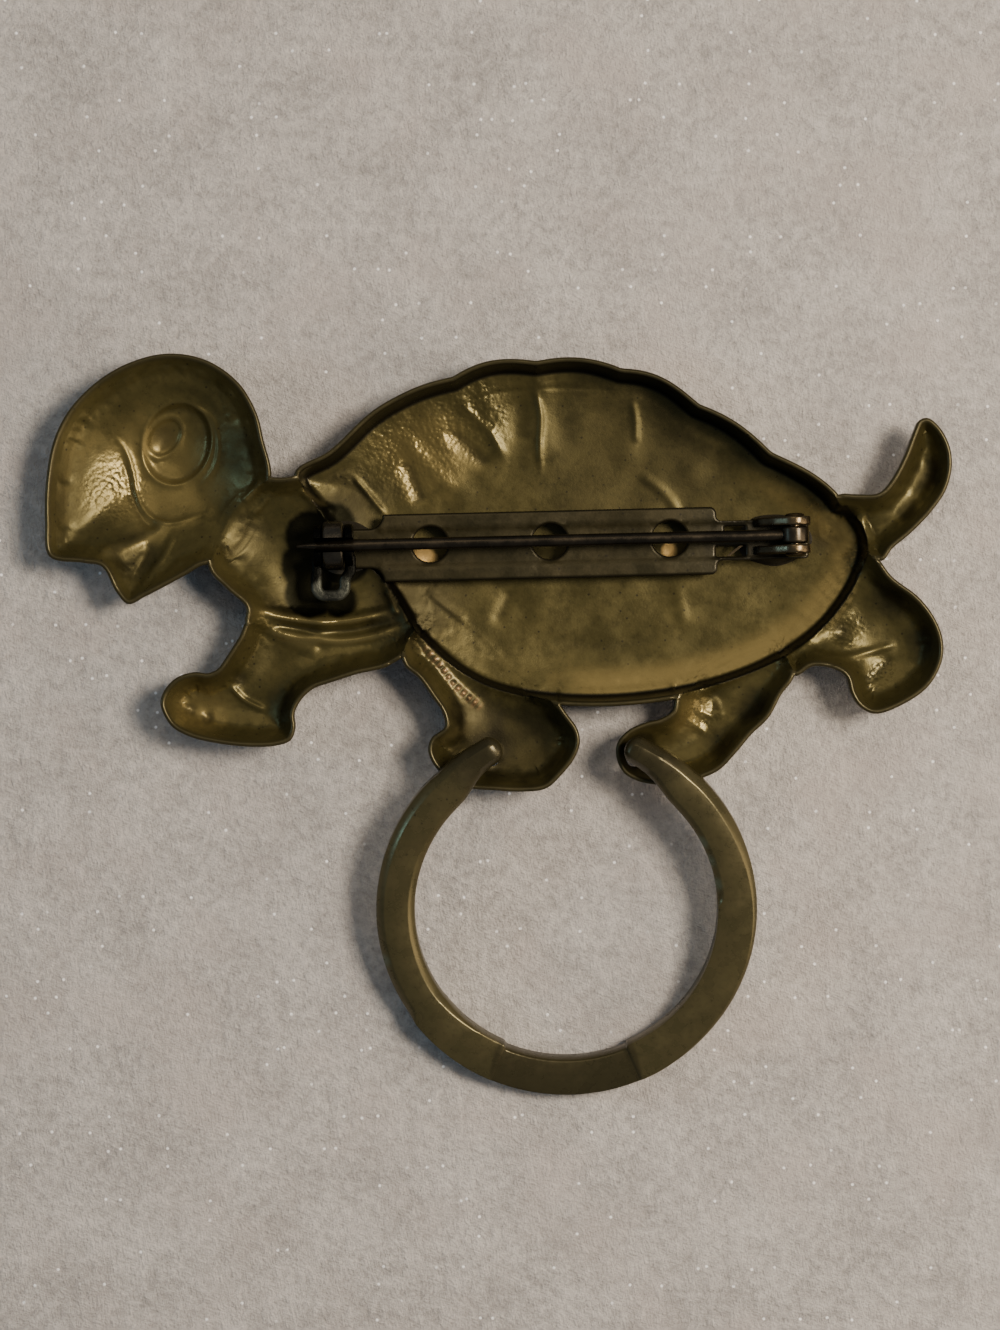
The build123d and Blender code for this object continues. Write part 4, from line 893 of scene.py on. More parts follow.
def rounded_box(low, high, radii, step):
    """A closed box with rounded corners, counted from its lower left one and then to the right."""
    (left, bottom), (right, top) = low, high
    return rounded([(left, bottom), (right, bottom), (right, top), (left, top)], radii, step)


def divided(loop, step):
    """The same closed outline with its long sides divided."""
    finer = []
    for a, b in zip(loop, np.roll(loop, -1, axis=0)):
        count = max(1, round(np.linalg.norm(b - a) / step))
        finer.extend(a + (b - a) * k / count for k in range(count))
    return np.array(finer)


low_wide, high_wide = -PLATE_DROP - HALF_WIDE, -PLATE_DROP + HALF_WIDE
low_narrow, high_narrow = -PLATE_DROP - HALF_NARROW, -PLATE_DROP + HALF_NARROW
plate_corners = [
    (CATCH_END, low_narrow), (PLATE_START, low_narrow), (PLATE_START, low_wide), (PLATE_END, low_wide),
    (PLATE_END, low_narrow), (HINGE_END, low_narrow), (HINGE_END, high_narrow), (PLATE_END, high_narrow),
    (PLATE_END, high_wide), (PLATE_START, high_wide), (PLATE_START, high_narrow), (CATCH_END, high_narrow),
]
plate_radii = [0.2, SHOULDER, 0.12, 0.5, 0.4, 0.3, 0.3, 0.4, 0.5, 0.12, SHOULDER, 0.2]
PLATE_LOOP = divided(rounded(plate_corners, plate_radii), PLATE_STEP)
first_hole = (PLATE_START + PLATE_END) / 2 - PLATE_HOLE_SPACING
PLATE_CUTS = [circle((first_hole + i * PLATE_HOLE_SPACING, 0.0), PLATE_HOLE_RADIUS, 44) for i in range(3)]
for start, end, low, high in WINDOWS:
    window = rounded_box((PLATE_END + start, low), (PLATE_END + end, high), [0.12] * 4, 0.08)
    PLATE_CUTS.append(divided(window, PLATE_STEP))


def plate_edge(points):
    """Distance from the plate's nearest edge: positive in its metal, negative outside or in a hole."""
    distances = [-inside_distance(points, cut) for cut in PLATE_CUTS]
    return np.min([inside_distance(points, PLATE_LOOP), *distances], axis=0)


rows, kept_edges, loops = [], [], [PLATE_LOOP, *PLATE_CUTS]
for loop in loops:
    kept_edges += chained(loop, sum(len(other) for other in loops[:len(rows)]))
    rows.append(loop)
for number, loop in enumerate(loops):
    for inset in (0.05, 0.12, 0.24, 0.42):
        rows.append(loop + inward_normals(loop) * (inset if number == 0 else -inset))
edge_rows = np.vstack(rows)
grid = staggered_grid(PLATE_LOOP.min(axis=0), PLATE_LOOP.max(axis=0), PLATE_STEP)
grid = grid[(plate_edge(grid) > 0.5) & clear_of(grid, edge_rows, 0.12)]
outlines = np.vstack(loops)
inner_rows = edge_rows[len(outlines):]
inner_rows = inner_rows[plate_edge(inner_rows) > 0.03]
plan = np.vstack([outlines, inner_rows, grid])
points, triangles, border = triangulate(plan, kept_edges, lambda middles: plate_edge(middles) > 0)
edge = plate_edge(points)
along = points[:, 0]
off_middle = np.abs(points[:, 1] + PLATE_DROP)
lip = PLATE_LIP * np.clip((off_middle - LIP_START) / 0.22, 0, 1)
lip *= np.clip((along - PLATE_START + 0.5) / 0.3, 0, 1)
fall = np.clip(1.0 - edge / EDGE_ROUNDING, 0.0, 1.0) ** 2 * EDGE_ROUNDING
sag = 0.03 * np.sin(along * 0.55 + 0.4)
upper = PLATE_TOP + lip - fall + sag * (edge > 0)
lower = PLATE_TOP - PLATE_THICKNESS + 0.5 * fall
plate = sheet_object("bar_plate", points, triangles, border, upper, lower)
corners = np.array([v.co[:] for v in plate.data.vertices]) / MM
plate.data.vertices.foreach_set("co", (on_bar(corners) * MM).ravel())
vertex_values(plate, "rim", np.concatenate([edge, edge]))
FINDING = Patina((0.021, 0.018, 0.0070), (0.036, 0.029, 0.0115), (0.011, 0.009, 0.005), 0.30, 0.42, 0.56)
finish = Finish("dull_bar_brass", FINDING, 0.45, 0.005)
# The plate is darker along its edges and towards its hinge end.
finish.cover((1 - finish.here.stored("rim").rises(0.02, 0.22)) * 0.85, FINDING.grime)
hinge_end = on_bar([(PLATE_END + 3.2, -PLATE_DROP, PLATE_TOP)])[0]
finish.cover(finish.here.near(hinge_end, 5.2, 3.0) * 0.75, (0.016, 0.014, 0.008))
finish.coat(plate, 0.25)
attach(plate, "brooch")
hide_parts("turtle_body")


# Solder and burnt flux that hold the bar's two ends: low lumps of dark metal on the hollow's floor.
SOLDER_ENDS = (         # middle along the bar, half length and half width
    (0.9, 2.3, 1.95),
    (PIN_SPAN - 1.3, 2.6, 1.75),
)
SOLDER_FOOT = 1.18      # size of a lump where it meets the hollow, as a share of the above
SOLDER_TOP = 0.76


def loft(rings, closed=False):
    """Corners and faces of a skin over rings of equal count, in order."""
    rings = [np.asarray(ring, float) for ring in rings]
    count = len(rings[0])
    faces = []
    for r in range(len(rings) if closed else len(rings) - 1):
        low, high = r * count, (r + 1) % len(rings) * count
        for k in range(count):
            n = (k + 1) % count
            faces.append((low + k, low + n, high + n, high + k))
    if not closed:
        faces.append(tuple(reversed(range(count))))
        faces.append(tuple(range((len(rings) - 1) * count, len(rings) * count)))
    return np.vstack(rings), faces


def face_outwards(made, sharp=40.0):
    """Turns a closed mesh's faces outwards and shades it smooth between its creases."""
    shape = bmesh.new()
    shape.from_mesh(made.data)
    bmesh.ops.recalc_face_normals(shape, faces=shape.faces)
    shape.to_mesh(made.data)
    shape.free()
    made.data.shade_smooth()
    made.data.set_sharp_from_angle(angle=radians(sharp))


def skinned(name, parts, sharp=40.0):
    """One object from several lofted parts, with its faces turned outwards."""
    corners, faces = [], []
    for part_corners, part_faces in parts:
        first = sum(len(c) for c in corners)
        corners.append(part_corners)
        faces.extend(tuple(first + i for i in face) for face in part_faces)
    made = new_mesh(name, np.vstack(corners), faces, sharp)
    face_outwards(made, sharp)
    return made


mounds = []
for number, (along, half_length, half_width) in enumerate(SOLDER_ENDS):
    rings = []
    for level in np.linspace(0.0, 1.0, 7):
        turns = np.linspace(0.0, tau, 48, endpoint=False)
        bumps = [noise.noise(Vector((cos(t) * 1.6, sin(t) * 1.6, 5.0 * number + level))) for t in turns]
        size = (1.0 + 0.10 * np.array(bumps)) * (SOLDER_FOOT - (SOLDER_FOOT - SOLDER_TOP) * level ** 0.6)
        oval = circle((0.0, 0.0), 1.0, 48) * (half_length, half_width) * size[:, None]
        placed = on_bar(np.column_stack([oval + (along, -PLATE_DROP), np.zeros(48)]))
        floor_z = stamped_heights(placed[:, :2], np.zeros(0, int))[0]
        placed[:, 2] = (floor_z - 0.12) * (1 - level) + (PLATE_TOP - 0.42) * level
        rings.append(placed)
    mounds.append(loft(rings))
solder = skinned("solder_lumps", mounds)
SOLDER = Patina((0.020, 0.018, 0.013), (0.060, 0.050, 0.032), (0.006, 0.006, 0.006), 0.32, 0.52, 0.60)
Finish("burnt_solder", SOLDER, 0.2, 0.02).coat(solder)
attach(solder, "brooch")
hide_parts("turtle_body")


# Hinge: two ears folded up from the bar, with the headed rivet that the pin turns on.
EAR_THICKNESS = 0.65
EAR_RADIUS = 1.2
EAR_FOOT = 4.3
HINGE_GAP = 1.46        # between the ears
RIVET_RADIUS = 0.45
RIVET_HEAD_RADIUS = 0.75
RIVET_HEAD = 0.25
RIVET_DOME = (          # distance out from the ear, and the head's radius there
    (0.0, RIVET_HEAD_RADIUS - 0.04), (0.10, RIVET_HEAD_RADIUS), (0.17, 0.68), (0.22, 0.52),
    (RIVET_HEAD, 0.25), (RIVET_HEAD, 0.02),
)
SLIVER = ((0.7, -1.42), (1.0, -1.42), (2.0, -0.66), (1.7, -0.66))    # left standing across a window


def slab(outline, low, high, rounding):
    """A flat piece with rounded edges, its outline along and up, its thickness across the bar."""
    normals = inward_normals(outline)
    rings = []
    for inset, across in ((1.0, 0.0), (0.35, 0.08), (0.08, 0.35), (0.0, 1.0)):
        rings.append(np.insert(outline + normals * rounding * inset, 1, low + rounding * across, axis=1))
    for ring in rings[::-1]:
        rings.append(ring * (1, -1, 1) + (0.0, low + high, 0.0))
    return loft(rings)


ear_start = HINGE_END - EAR_FOOT
turns = np.radians(np.arange(0, 131, 13))
arch = [(PIN_SPAN + EAR_RADIUS * cos(t), PIN_HEIGHT + EAR_RADIUS * sin(t)) for t in turns]
foot_z = PLATE_TOP - PLATE_THICKNESS / 2
ear_outline = divided(np.array([
    (HINGE_END, foot_z), *arch, (ear_start + 1.5, PIN_HEIGHT + 0.25),
    (ear_start + 0.35, PLATE_TOP + 0.75), (ear_start, foot_z),
]), 0.3)
ears = []
for side in (-1, 1):
    low, high = sorted((side * HINGE_GAP / 2, side * (HINGE_GAP / 2 + EAR_THICKNESS)))
    corners, faces = slab(ear_outline, low, high, 0.16)
    ears.append((on_bar(corners), faces))
sliver = np.array([(PLATE_END + along, across, foot_z) for along, across in SLIVER])
corners, faces = loft([sliver, sliver + (0.0, 0.0, 0.25)])
ears.append((on_bar(corners), faces))
hinge = skinned("hinge_ears", ears)
HINGE_METAL = Patina((0.048, 0.037, 0.022), (0.120, 0.088, 0.046), (0.012, 0.010, 0.007), 0.22, 0.36, 0.90)
finish = Finish("dark_hinge_brass", HINGE_METAL, 0.1, 0.006)
finish.coat(hinge)
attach(hinge, "brooch")
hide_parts("turtle_body")


def turned(profile, along, turns=40):
    """A turned part: distances along the axis and radii, closed at both ends."""
    angles = np.linspace(0.0, tau, turns, endpoint=False)
    rings = []
    for at, radius in profile:
        ring = np.column_stack([radius * np.cos(angles), np.full(turns, at), radius * np.sin(angles)])
        rings.append(ring + along)
    return loft(rings)


outer = HINGE_GAP / 2 + EAR_THICKNESS + 0.02
profile = [(-outer - at, radius) for at, radius in reversed(RIVET_DOME)]
profile += [(-outer, RIVET_RADIUS), (outer, RIVET_RADIUS)]
profile += [(outer + at, radius) for at, radius in RIVET_DOME]
corners, faces = turned(profile, (PIN_SPAN, 0.0, PIN_HEIGHT))
rivet = skinned("hinge_pin_rivet", [(on_bar(corners), faces)])
rivet.data.materials.append(finish.material)
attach(rivet, "brooch")
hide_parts("hinge_rivet")


# Pin: hard drawn wire, darkened brown, ground to a point at the catch and rolled into an eye that
# turns on the rivet.
PIN_RADIUS = 0.45
PIN_TIP = 2.8
PIN_TAPER = 3.6
PIN_POINT_RADIUS = 0.1
EYE_OUTER = 1.05
EYE_BORE = 0.5
EYE_HALF_WIDTH = 0.65


def bar_tree():
    """Node tree of a round bar along a path, whose points hold the bar's radius there."""
    tree = bpy.data.node_groups.new("round_bar", "GeometryNodeTree")
    tree.interface.new_socket("Path", in_out="INPUT", socket_type="NodeSocketGeometry")
    tree.interface.new_socket("Sides", in_out="INPUT", socket_type="NodeSocketInt")
    tree.interface.new_socket("Metal", in_out="INPUT", socket_type="NodeSocketMaterial")
    tree.interface.new_socket("Bar", in_out="OUTPUT", socket_type="NodeSocketGeometry")
    kinds = {
        "given": "NodeGroupInput", "curve": "GeometryNodeMeshToCurve",
        "radius": "GeometryNodeInputNamedAttribute", "round": "GeometryNodeCurvePrimitiveCircle",
        "bar": "GeometryNodeCurveToMesh", "real": "GeometryNodeRealizeInstances",
        "coat": "GeometryNodeSetMaterial", "made": "NodeGroupOutput",
    }
    nodes = {name: tree.nodes.new(kind) for name, kind in kinds.items()}
    nodes["radius"].data_type = "FLOAT"
    nodes["radius"].inputs["Name"].default_value = "bar_radius"
    nodes["round"].inputs["Radius"].default_value = 1.0
    nodes["bar"].inputs["Fill Caps"].default_value = True
    links = (
        ("given", "Path", "curve", "Mesh"), ("given", "Sides", "round", "Resolution"),
        ("curve", "Curve", "bar", "Curve"), ("round", "Curve", "bar", "Profile Curve"),
        ("radius", "Attribute", "bar", "Scale"), ("bar", "Mesh", "real", "Geometry"),
        ("real", "Geometry", "coat", "Geometry"), ("given", "Metal", "coat", "Material"),
        ("coat", "Geometry", "made", "Bar"),
    )
    for start, output, end, socket in links:
        tree.links.new(nodes[start].outputs[output], nodes[end].inputs[socket])
    return tree


BAR_TREE = bar_tree()


def round_bars(name, paths, metal, sides):
    """Round bars along paths, each given as its points and its radii, as one plain mesh."""
    corners, edges, radii = [], [], []
    for path, path_radii in paths:
        edges.extend((len(corners) + i, len(corners) + i + 1) for i in range(len(path) - 1))
        corners.extend(path)
        radii.extend(path_radii)
    guide = bpy.data.meshes.new(name)
    guide.from_pydata([tuple(c) for c in np.array(corners) * MM], edges, [])
    made = bpy.data.objects.new(name, guide)
    vertex_values(made, "bar_radius", np.array(radii) * MM)
    bpy.context.scene.collection.objects.link(made)
    bars = made.modifiers.new("bars", "NODES")
    bars.node_group = BAR_TREE
    given = {"Sides": sides, "Metal": metal}
    for socket in BAR_TREE.interface.items_tree:
        if socket.name in given:
            bars[socket.identifier] = given[socket.name]
    bpy.context.view_layer.update()
    evaluated = made.evaluated_get(bpy.context.evaluated_depsgraph_get())
    plain = bpy.data.meshes.new_from_object(evaluated)
    made.modifiers.remove(bars)
    made.data = plain
    face_outwards(made)
    return made


WIRE = Patina((0.020, 0.017, 0.012), (0.052, 0.041, 0.026), (0.008, 0.007, 0.005), 0.24, 0.36, 0.90)
finish = Finish("browned_wire", WIRE, 0.08, 0.005)
stations = [(-PIN_TIP, 0.03), (-PIN_TIP + 0.05, PIN_POINT_RADIUS)]
for share in np.linspace(0.1, 1.0, 10):
    swell = PIN_POINT_RADIUS + (PIN_RADIUS - PIN_POINT_RADIUS) * sin(share * pi / 2)
    stations.append((-PIN_TIP + PIN_TAPER * share, swell))
stations += [(at, PIN_RADIUS) for at in np.linspace(2.0, PIN_SPAN - EYE_OUTER + 0.25, 24)]
wire_path = on_bar([(at, 0.0, PIN_HEIGHT) for at, _ in stations])
pin = round_bars("pin_wire", [(wire_path, [radius for _, radius in stations])], finish.material, 28)
eye_section = rounded_box(
    (EYE_BORE, -EYE_HALF_WIDTH), (EYE_OUTER, EYE_HALF_WIDTH), [0.06, 0.22, 0.22, 0.06], 0.08)
eye_rings = []
for turn in np.linspace(0.0, tau, 48, endpoint=False):
    ring = [(PIN_SPAN + r * cos(turn), y, PIN_HEIGHT + r * sin(turn)) for r, y in eye_section]
    eye_rings.append(on_bar(ring))
eye = skinned("pin_eye", [loft(eye_rings, closed=True)])
finish.coat(eye)
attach(eye, "pin")
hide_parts("pin_stem")
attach(pin, "pin")
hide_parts("pin_stem")


# Catch: a seat rolled up from the end of the bar, open above, and in it a slotted sleeve that turns
# by its U-shaped thumb lever to lock the pin.
HOUSING_RADIUS = 1.85
HOUSING_LENGTH = 1.55
SEAT_FOOT = 1.39        # half the width of the foot that joins the seat to the bar
SLEEVE_RADIUS = 1.15
SLEEVE_BORE = 0.75
COLLAR_RADIUS = 1.6
COLLAR_LENGTH = 0.65
CATCH_SLOT = 1.1
LEVER_REACH = 4.2
LEVER_BAR = 0.86
LEVER_ARM = 1.26        # from the sleeve's middle to the middle of each arm, beside the seat
LEVER_ENDS = (-1.36, 0.80)      # and lower down, where the loop is narrower and leans
LEVER_START = 0.95      # the arms begin this far from the pin's axis, inside the sleeve's collars
LEVER_NARROWS = 1.95
LEVER_THICKNESS = 0.6


def slotted(section, half_slot, steps=44):
    """A section of places along the bar and radii, swept round the pin's axis but for a slot above."""
    rings = []
    for share in np.linspace(0.0, 1.0, steps):
        ring = []
        for along, radius in section:
            slot_turn = np.arcsin(half_slot / radius)
            turn = pi / 2 + slot_turn + share * (tau - 2 * slot_turn)
            ring.append((along, radius * cos(turn), PIN_HEIGHT + radius * sin(turn)))
        rings.append(ring)
    return loft(rings)


half = HOUSING_LENGTH / 2
seat_section = rounded_box(
    (-half, SLEEVE_RADIUS + 0.05), (half, HOUSING_RADIUS), [0.06, 0.06, 0.26, 0.26], 0.08)
foot = rounded_box((-half, -SEAT_FOOT), (half, SEAT_FOOT), [0.2] * 4, 0.1)
foot_heights = (PLATE_TOP - PLATE_THICKNESS, PIN_HEIGHT - SLEEVE_RADIUS - 0.06)
foot_rings = [np.insert(foot, 2, z, axis=1) for z in foot_heights]
parts = [slotted(seat_section, CATCH_SLOT / 2), loft(foot_rings)]
seat = skinned("catch_seat", [(on_bar(corners), faces) for corners, faces in parts])
CATCH_METAL = Patina((0.022, 0.019, 0.014), (0.066, 0.058, 0.042), (0.006, 0.006, 0.006), 0.20, 0.32, 0.85)
Finish("dark_catch_brass", CATCH_METAL, 0.12, 0.008).coat(seat)
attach(seat, "brooch")
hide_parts("turtle_body")

collar_start = half + 0.08
end = collar_start + COLLAR_LENGTH
sleeve_section = rounded([
    (-end, SLEEVE_BORE), (end, SLEEVE_BORE), (end, COLLAR_RADIUS), (collar_start, COLLAR_RADIUS),
    (collar_start, SLEEVE_RADIUS), (-collar_start, SLEEVE_RADIUS), (-collar_start, COLLAR_RADIUS),
    (-end, COLLAR_RADIUS),
], [0.08, 0.08, 0.14, 0.14, 0.04, 0.04, 0.14, 0.14], 0.06)
path_y = LEVER_REACH - LEVER_BAR / 2
left_end, right_end = LEVER_ENDS
lever_corners = [
    (-LEVER_ARM, -LEVER_START), (-LEVER_ARM, -LEVER_NARROWS), (left_end, -2.5), (left_end, -path_y),
    (right_end, -path_y), (right_end, -2.6), (LEVER_ARM, -LEVER_NARROWS), (LEVER_ARM, -LEVER_START),
]
lever_path = rounded(lever_corners, [0.01, 0.3, 0.3, 0.70, 0.70, 0.3, 0.3, 0.01], 0.12)
wide, thick = LEVER_BAR / 2, LEVER_THICKNESS / 2
lever_section = rounded_box((-wide, -thick), (wide, thick), [0.26] * 4, 0.06)


def swept(path, section):
    """A section carried along a plan path at the pin's height, its first number to the path's left."""
    rings = []
    for i, point in enumerate(path):
        ahead = path[min(i + 1, len(path) - 1)] - path[max(i - 1, 0)]
        left = np.array([-ahead[1], ahead[0]]) / np.linalg.norm(ahead)
        rings.append([(*(point + left * side), PIN_HEIGHT + up) for side, up in section])
    return loft(rings)


parts = [slotted(sleeve_section, CATCH_SLOT / 2), swept(lever_path, lever_section)]
sleeve = skinned("catch_sleeve_lever", [(on_bar(corners), faces) for corners, faces in parts])
LEVER_METAL = Patina((0.030, 0.032, 0.024), (0.094, 0.097, 0.076), (0.012, 0.012, 0.010), 0.34, 0.50, 0.60)
finish = Finish("worn_grey_plating", LEVER_METAL, 0.3, 0.035, grain_size=0.3)
lever_bar = on_bar([(-0.2, -path_y, PIN_HEIGHT + thick)])[0]
finish.cover(finish.here.near(lever_bar, 0.9, 0.4) * 0.7, LEVER_METAL.grime)
lever_end = on_bar([(0.0, -LEVER_REACH, PIN_HEIGHT)])[0]
plated = finish.here.near(lever_end, 2.3, 0.6)
finish.cover(1 - plated, (0.006, 0.006, 0.005))
finish.metal = 1 - plated * (1 - LEVER_METAL.metal)
finish.coat(sleeve, 0.12)
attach(sleeve, "catch")
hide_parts("catch_sleeve")


# Ring: an open cast ring, flat behind with filed bevels and a thinner stretch at the bottom. Its two
# ends narrow to rods that hook down through the middle feet and turn over below them.
RING_INNER = 11.45
RING_WIDTH = 2.97
RING_THICKNESS = 1.9
RING_BEVEL = 0.55
RING_FRONT_BEVEL = 0.25
RING_EDGE = 0.05        # rounding of its back edges where they have no bevel
RING_RECESS = 0.12
RECESS_SLIM = 0.20      # the thinner stretch is this much narrower, on its inner side
RECESS_TURN = radians(23.5)     # half of the thinner stretch, from the bottom
BEVEL_TURNS = (radians(53.5), radians(93.0))    # its outer bevel begins here on the left, its inner right
ROUND_TURN = radians(138.0)     # and the full ring ends here
RING_REACH = 12.35
ROD_WIDTH = 2.1
ROD_THICKNESS = 1.5
ROD_RISE = 0.75
ROD_FRONT_ROUNDING = 0.45
ROD_BACK_ROUNDING = 0.55
ROD_BOW = 0.22          # each rod bows outwards by this between the ring and its peg
PEG_RADIUS = 0.55
PEG_TOP_RADII = [0.30, 0.44, 0.46, 0.46]    # slim above the slot, whose edge it clears as the ring swings
PEG_BEND = 0.45
PEG_BEND_RADII = [0.52, 0.48, 0.44, 0.42]
PEG_STUB = 1.35
PEG_STUB_RADIUS = 0.4
PEG_STUB_DROP = 0.65
# Spots of verdigris: degrees from the ring's bottom, and distance from its middle
VERDIGRIS = ((118, RING_INNER), (110, RING_INNER), (101, RING_INNER), (-74, RING_INNER + RING_WIDTH))
rod_z = RIM_Z + ROD_RISE + ROD_THICKNESS / 2
far_reach = RING_REACH + RING_INNER + RING_WIDTH
ring_tip = asin(rod_z / hypot(far_reach, RING_THICKNESS / 2)) - atan2(RING_THICKNESS / 2, far_reach)
ring_x = (PEGS[0][0] + PEGS[1][0]) / 2 + RING_SHIFT
peg_y = PEGS[0][1]


def tipped(corners):
    """Points on the flat ring, from its middle, moved to where the ring lies."""
    corners = np.asarray(corners, float)
    y, z = corners[:, 1] - RING_REACH, corners[:, 2]
    tilted_y = y * cos(ring_tip) - z * sin(ring_tip)
    tilted_z = y * sin(ring_tip) + z * cos(ring_tip)
    return np.column_stack([corners[:, 0] + ring_x, tilted_y + peg_y, tilted_z + rod_z])


def ease(value, low, high):
    share = np.clip((value - low) / (high - low), 0.0, 1.0)
    return share * share * (3 - 2 * share)


def ring_section(turn):
    """Sixteen corners of the ring's section at a turn from its bottom: out from its middle line, and up."""
    size = abs(turn)
    sunk = 1 - ease(size, RECESS_TURN - 0.012, RECESS_TURN + 0.012)
    recess = RING_RECESS * sunk
    if turn < 0:
        outer = RING_BEVEL * ease(size, BEVEL_TURNS[0] - 0.02, BEVEL_TURNS[0] + 0.05)
        inner = 0.8 * RING_BEVEL * ease(size, RECESS_TURN + 0.05, BEVEL_TURNS[0] + 0.15)
    else:
        outer = RING_BEVEL * (0.4 * ease(size, 0.5, 0.9) + 0.6 * ease(size, 1.4, 2.1))
        inner = 0.8 * RING_BEVEL * ease(size, BEVEL_TURNS[1] - 0.02, BEVEL_TURNS[1] + 0.05)
    slim = 0.03 * ease(size, BEVEL_TURNS[0] - 0.015, BEVEL_TURNS[0] + 0.015) * (turn < 0)
    rod = ease(size, ROUND_TURN - 0.10, ROUND_TURN + 0.38)
    half = (RING_WIDTH * (1 - rod) + ROD_WIDTH * rod) / 2 - slim * (1 - rod)
    low = -(RING_THICKNESS * (1 - rod) + ROD_THICKNESS * rod) / 2
    high = -low - recess
    front = RING_FRONT_BEVEL * (1 - rod) + ROD_FRONT_ROUNDING * rod
    out_cut = (RING_EDGE + outer) * (1 - rod) + ROD_BACK_ROUNDING * rod
    in_cut = (RING_EDGE + inner + 0.10 * sunk) * (1 - rod) + ROD_BACK_ROUNDING * rod
    soft = 0.06 + 0.08 * rod
    near = -half + RECESS_SLIM * sunk
    return [
        (near, low + front), (near + front * 0.3, low + front * 0.3), (near + front, low),
        (near + front + soft, low), (half - front - soft, low), (half - front, low),
        (half - front * 0.3, low + front * 0.3), (half, low + front),
        (half, high - out_cut - soft), (half - 0.04, high - out_cut + 0.02),
        (half - out_cut + 0.04, high - 0.04), (half - out_cut - soft, high),
        (near + in_cut + soft, high), (near + in_cut - 0.04, high - 0.04),
        (near + 0.04, high - in_cut + 0.02), (near, high - in_cut - soft),
    ]


ring_rings = []
middle_radius = RING_INNER + RING_WIDTH / 2
steps = np.linspace(-ROUND_TURN, ROUND_TURN, 150)
marks = []
for mark in (-RECESS_TURN, RECESS_TURN, -BEVEL_TURNS[0], BEVEL_TURNS[1]):
    marks += [mark + d for d in (-0.016, -0.006, 0.0, 0.006, 0.016)]
turns = sorted([*steps, *marks])
stations = [(turn, middle_radius * sin(turn), -middle_radius * cos(turn)) for turn in turns]
for side in (-1, 1):
    peg_x = PEGS[(side + 1) // 2][0] - ring_x
    root = np.array([side * middle_radius * sin(ROUND_TURN), -middle_radius * cos(ROUND_TURN)])
    tip = np.array([peg_x, RING_REACH])
    rods = []
    for share in np.linspace(0.12, 1.0, 9):
        away = np.array([side * 0.75, 0.66]) * (ROD_BOW * sin(pi * share))
        rods.append((side * (ROUND_TURN + 0.4 * share), *(root + (tip - root) * share + away)))
    stations = stations + rods if side > 0 else rods[::-1] + stations
places = np.array([station[1:] for station in stations])
ways = np.gradient(places, axis=0)
ways /= np.linalg.norm(ways, axis=1)[:, None]
for (turn, x, y), way in zip(stations, ways):
    out = np.array([way[1], -way[0]])
    section = [(x + out[0] * side, y + out[1] * side, up) for side, up in ring_section(turn)]
    ring_rings.append(tipped(section))
for end_ring, at in ((ring_rings[0], 0), (ring_rings[-1], len(ring_rings))):
    middle = end_ring.mean(axis=0)
    way = middle - (ring_rings[1] if at == 0 else ring_rings[-2]).mean(axis=0)
    way /= np.linalg.norm(way)
    dome = np.radians([25, 50, 72, 86])
    caps = [middle + (end_ring - middle) * cos(t) + way * ROD_WIDTH * 0.42 * sin(t) for t in dome]
    ring_rings = caps[::-1] + ring_rings if at == 0 else ring_rings + caps


stub_z = RIM_Z - LEG_DEPTH - SHEET - PEG_STUB_DROP
pegs = []
for side, peg in zip((-1, 1), PEGS):
    bend_z = stub_z + PEG_BEND
    path = [(peg[0], peg_y, rod_z)]
    path += [(peg[0], peg_y, z) for z in np.linspace(rod_z - 0.5, bend_z, 8)]
    for turn in np.radians([30, 60, 90]):
        path.append((peg[0] + side * PEG_BEND * (1 - cos(turn)), peg_y, bend_z - PEG_BEND * sin(turn)))
    path += [(peg[0] + side * x, peg_y, stub_z) for x in (0.8, 1.15, PEG_STUB - 0.05, PEG_STUB)]
    radii = PEG_TOP_RADII + [PEG_RADIUS] * 5 + PEG_BEND_RADII + [PEG_STUB_RADIUS, 0.34, 0.10]
    pegs.append((path, radii))
ring = skinned("hanging_ring", [loft(ring_rings)], sharp=32.0)
RING_METAL = Patina((0.063, 0.054, 0.023), (0.090, 0.074, 0.032), (0.018, 0.015, 0.008), 0.25, 0.35, 0.60)
finish = Finish("ring_brass", RING_METAL, 0.2, 0.005)
here = finish.here
green_spots = []
for turn, radius in VERDIGRIS:
    spot = tipped([(radius * sin(radians(turn)), -radius * cos(radians(turn)), 0.6)])[0]
    green_spots.append(here.near(spot, 0.8, 0.6))
green = reduce(Shade.at_least, green_spots)
finish.cover(green * 0.35, (0.060, 0.12, 0.09))
# Darker towards the rods' ends.
for peg in PEGS:
    finish.cover(here.near((*peg, rod_z), 5.0, 3.0) * 0.55, RING_METAL.grime)
# Painted shade on the thinner stretch at the ring's bottom.
recess_middle = tipped([(0.0, -middle_radius, RING_THICKNESS / 2)])[0]
finish.cover(here.near(recess_middle, 5.9, 0.3) * 0.45, RING_METAL.grime)
finish.metal = RING_METAL.metal - green * 0.35
finish.coat(ring, 0.30)
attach(ring, "ring")
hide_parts("drop_ring")
ring_pegs = round_bars("ring_pegs", pegs, finish.material, 24)
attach(ring_pegs, "ring")
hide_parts("drop_ring")


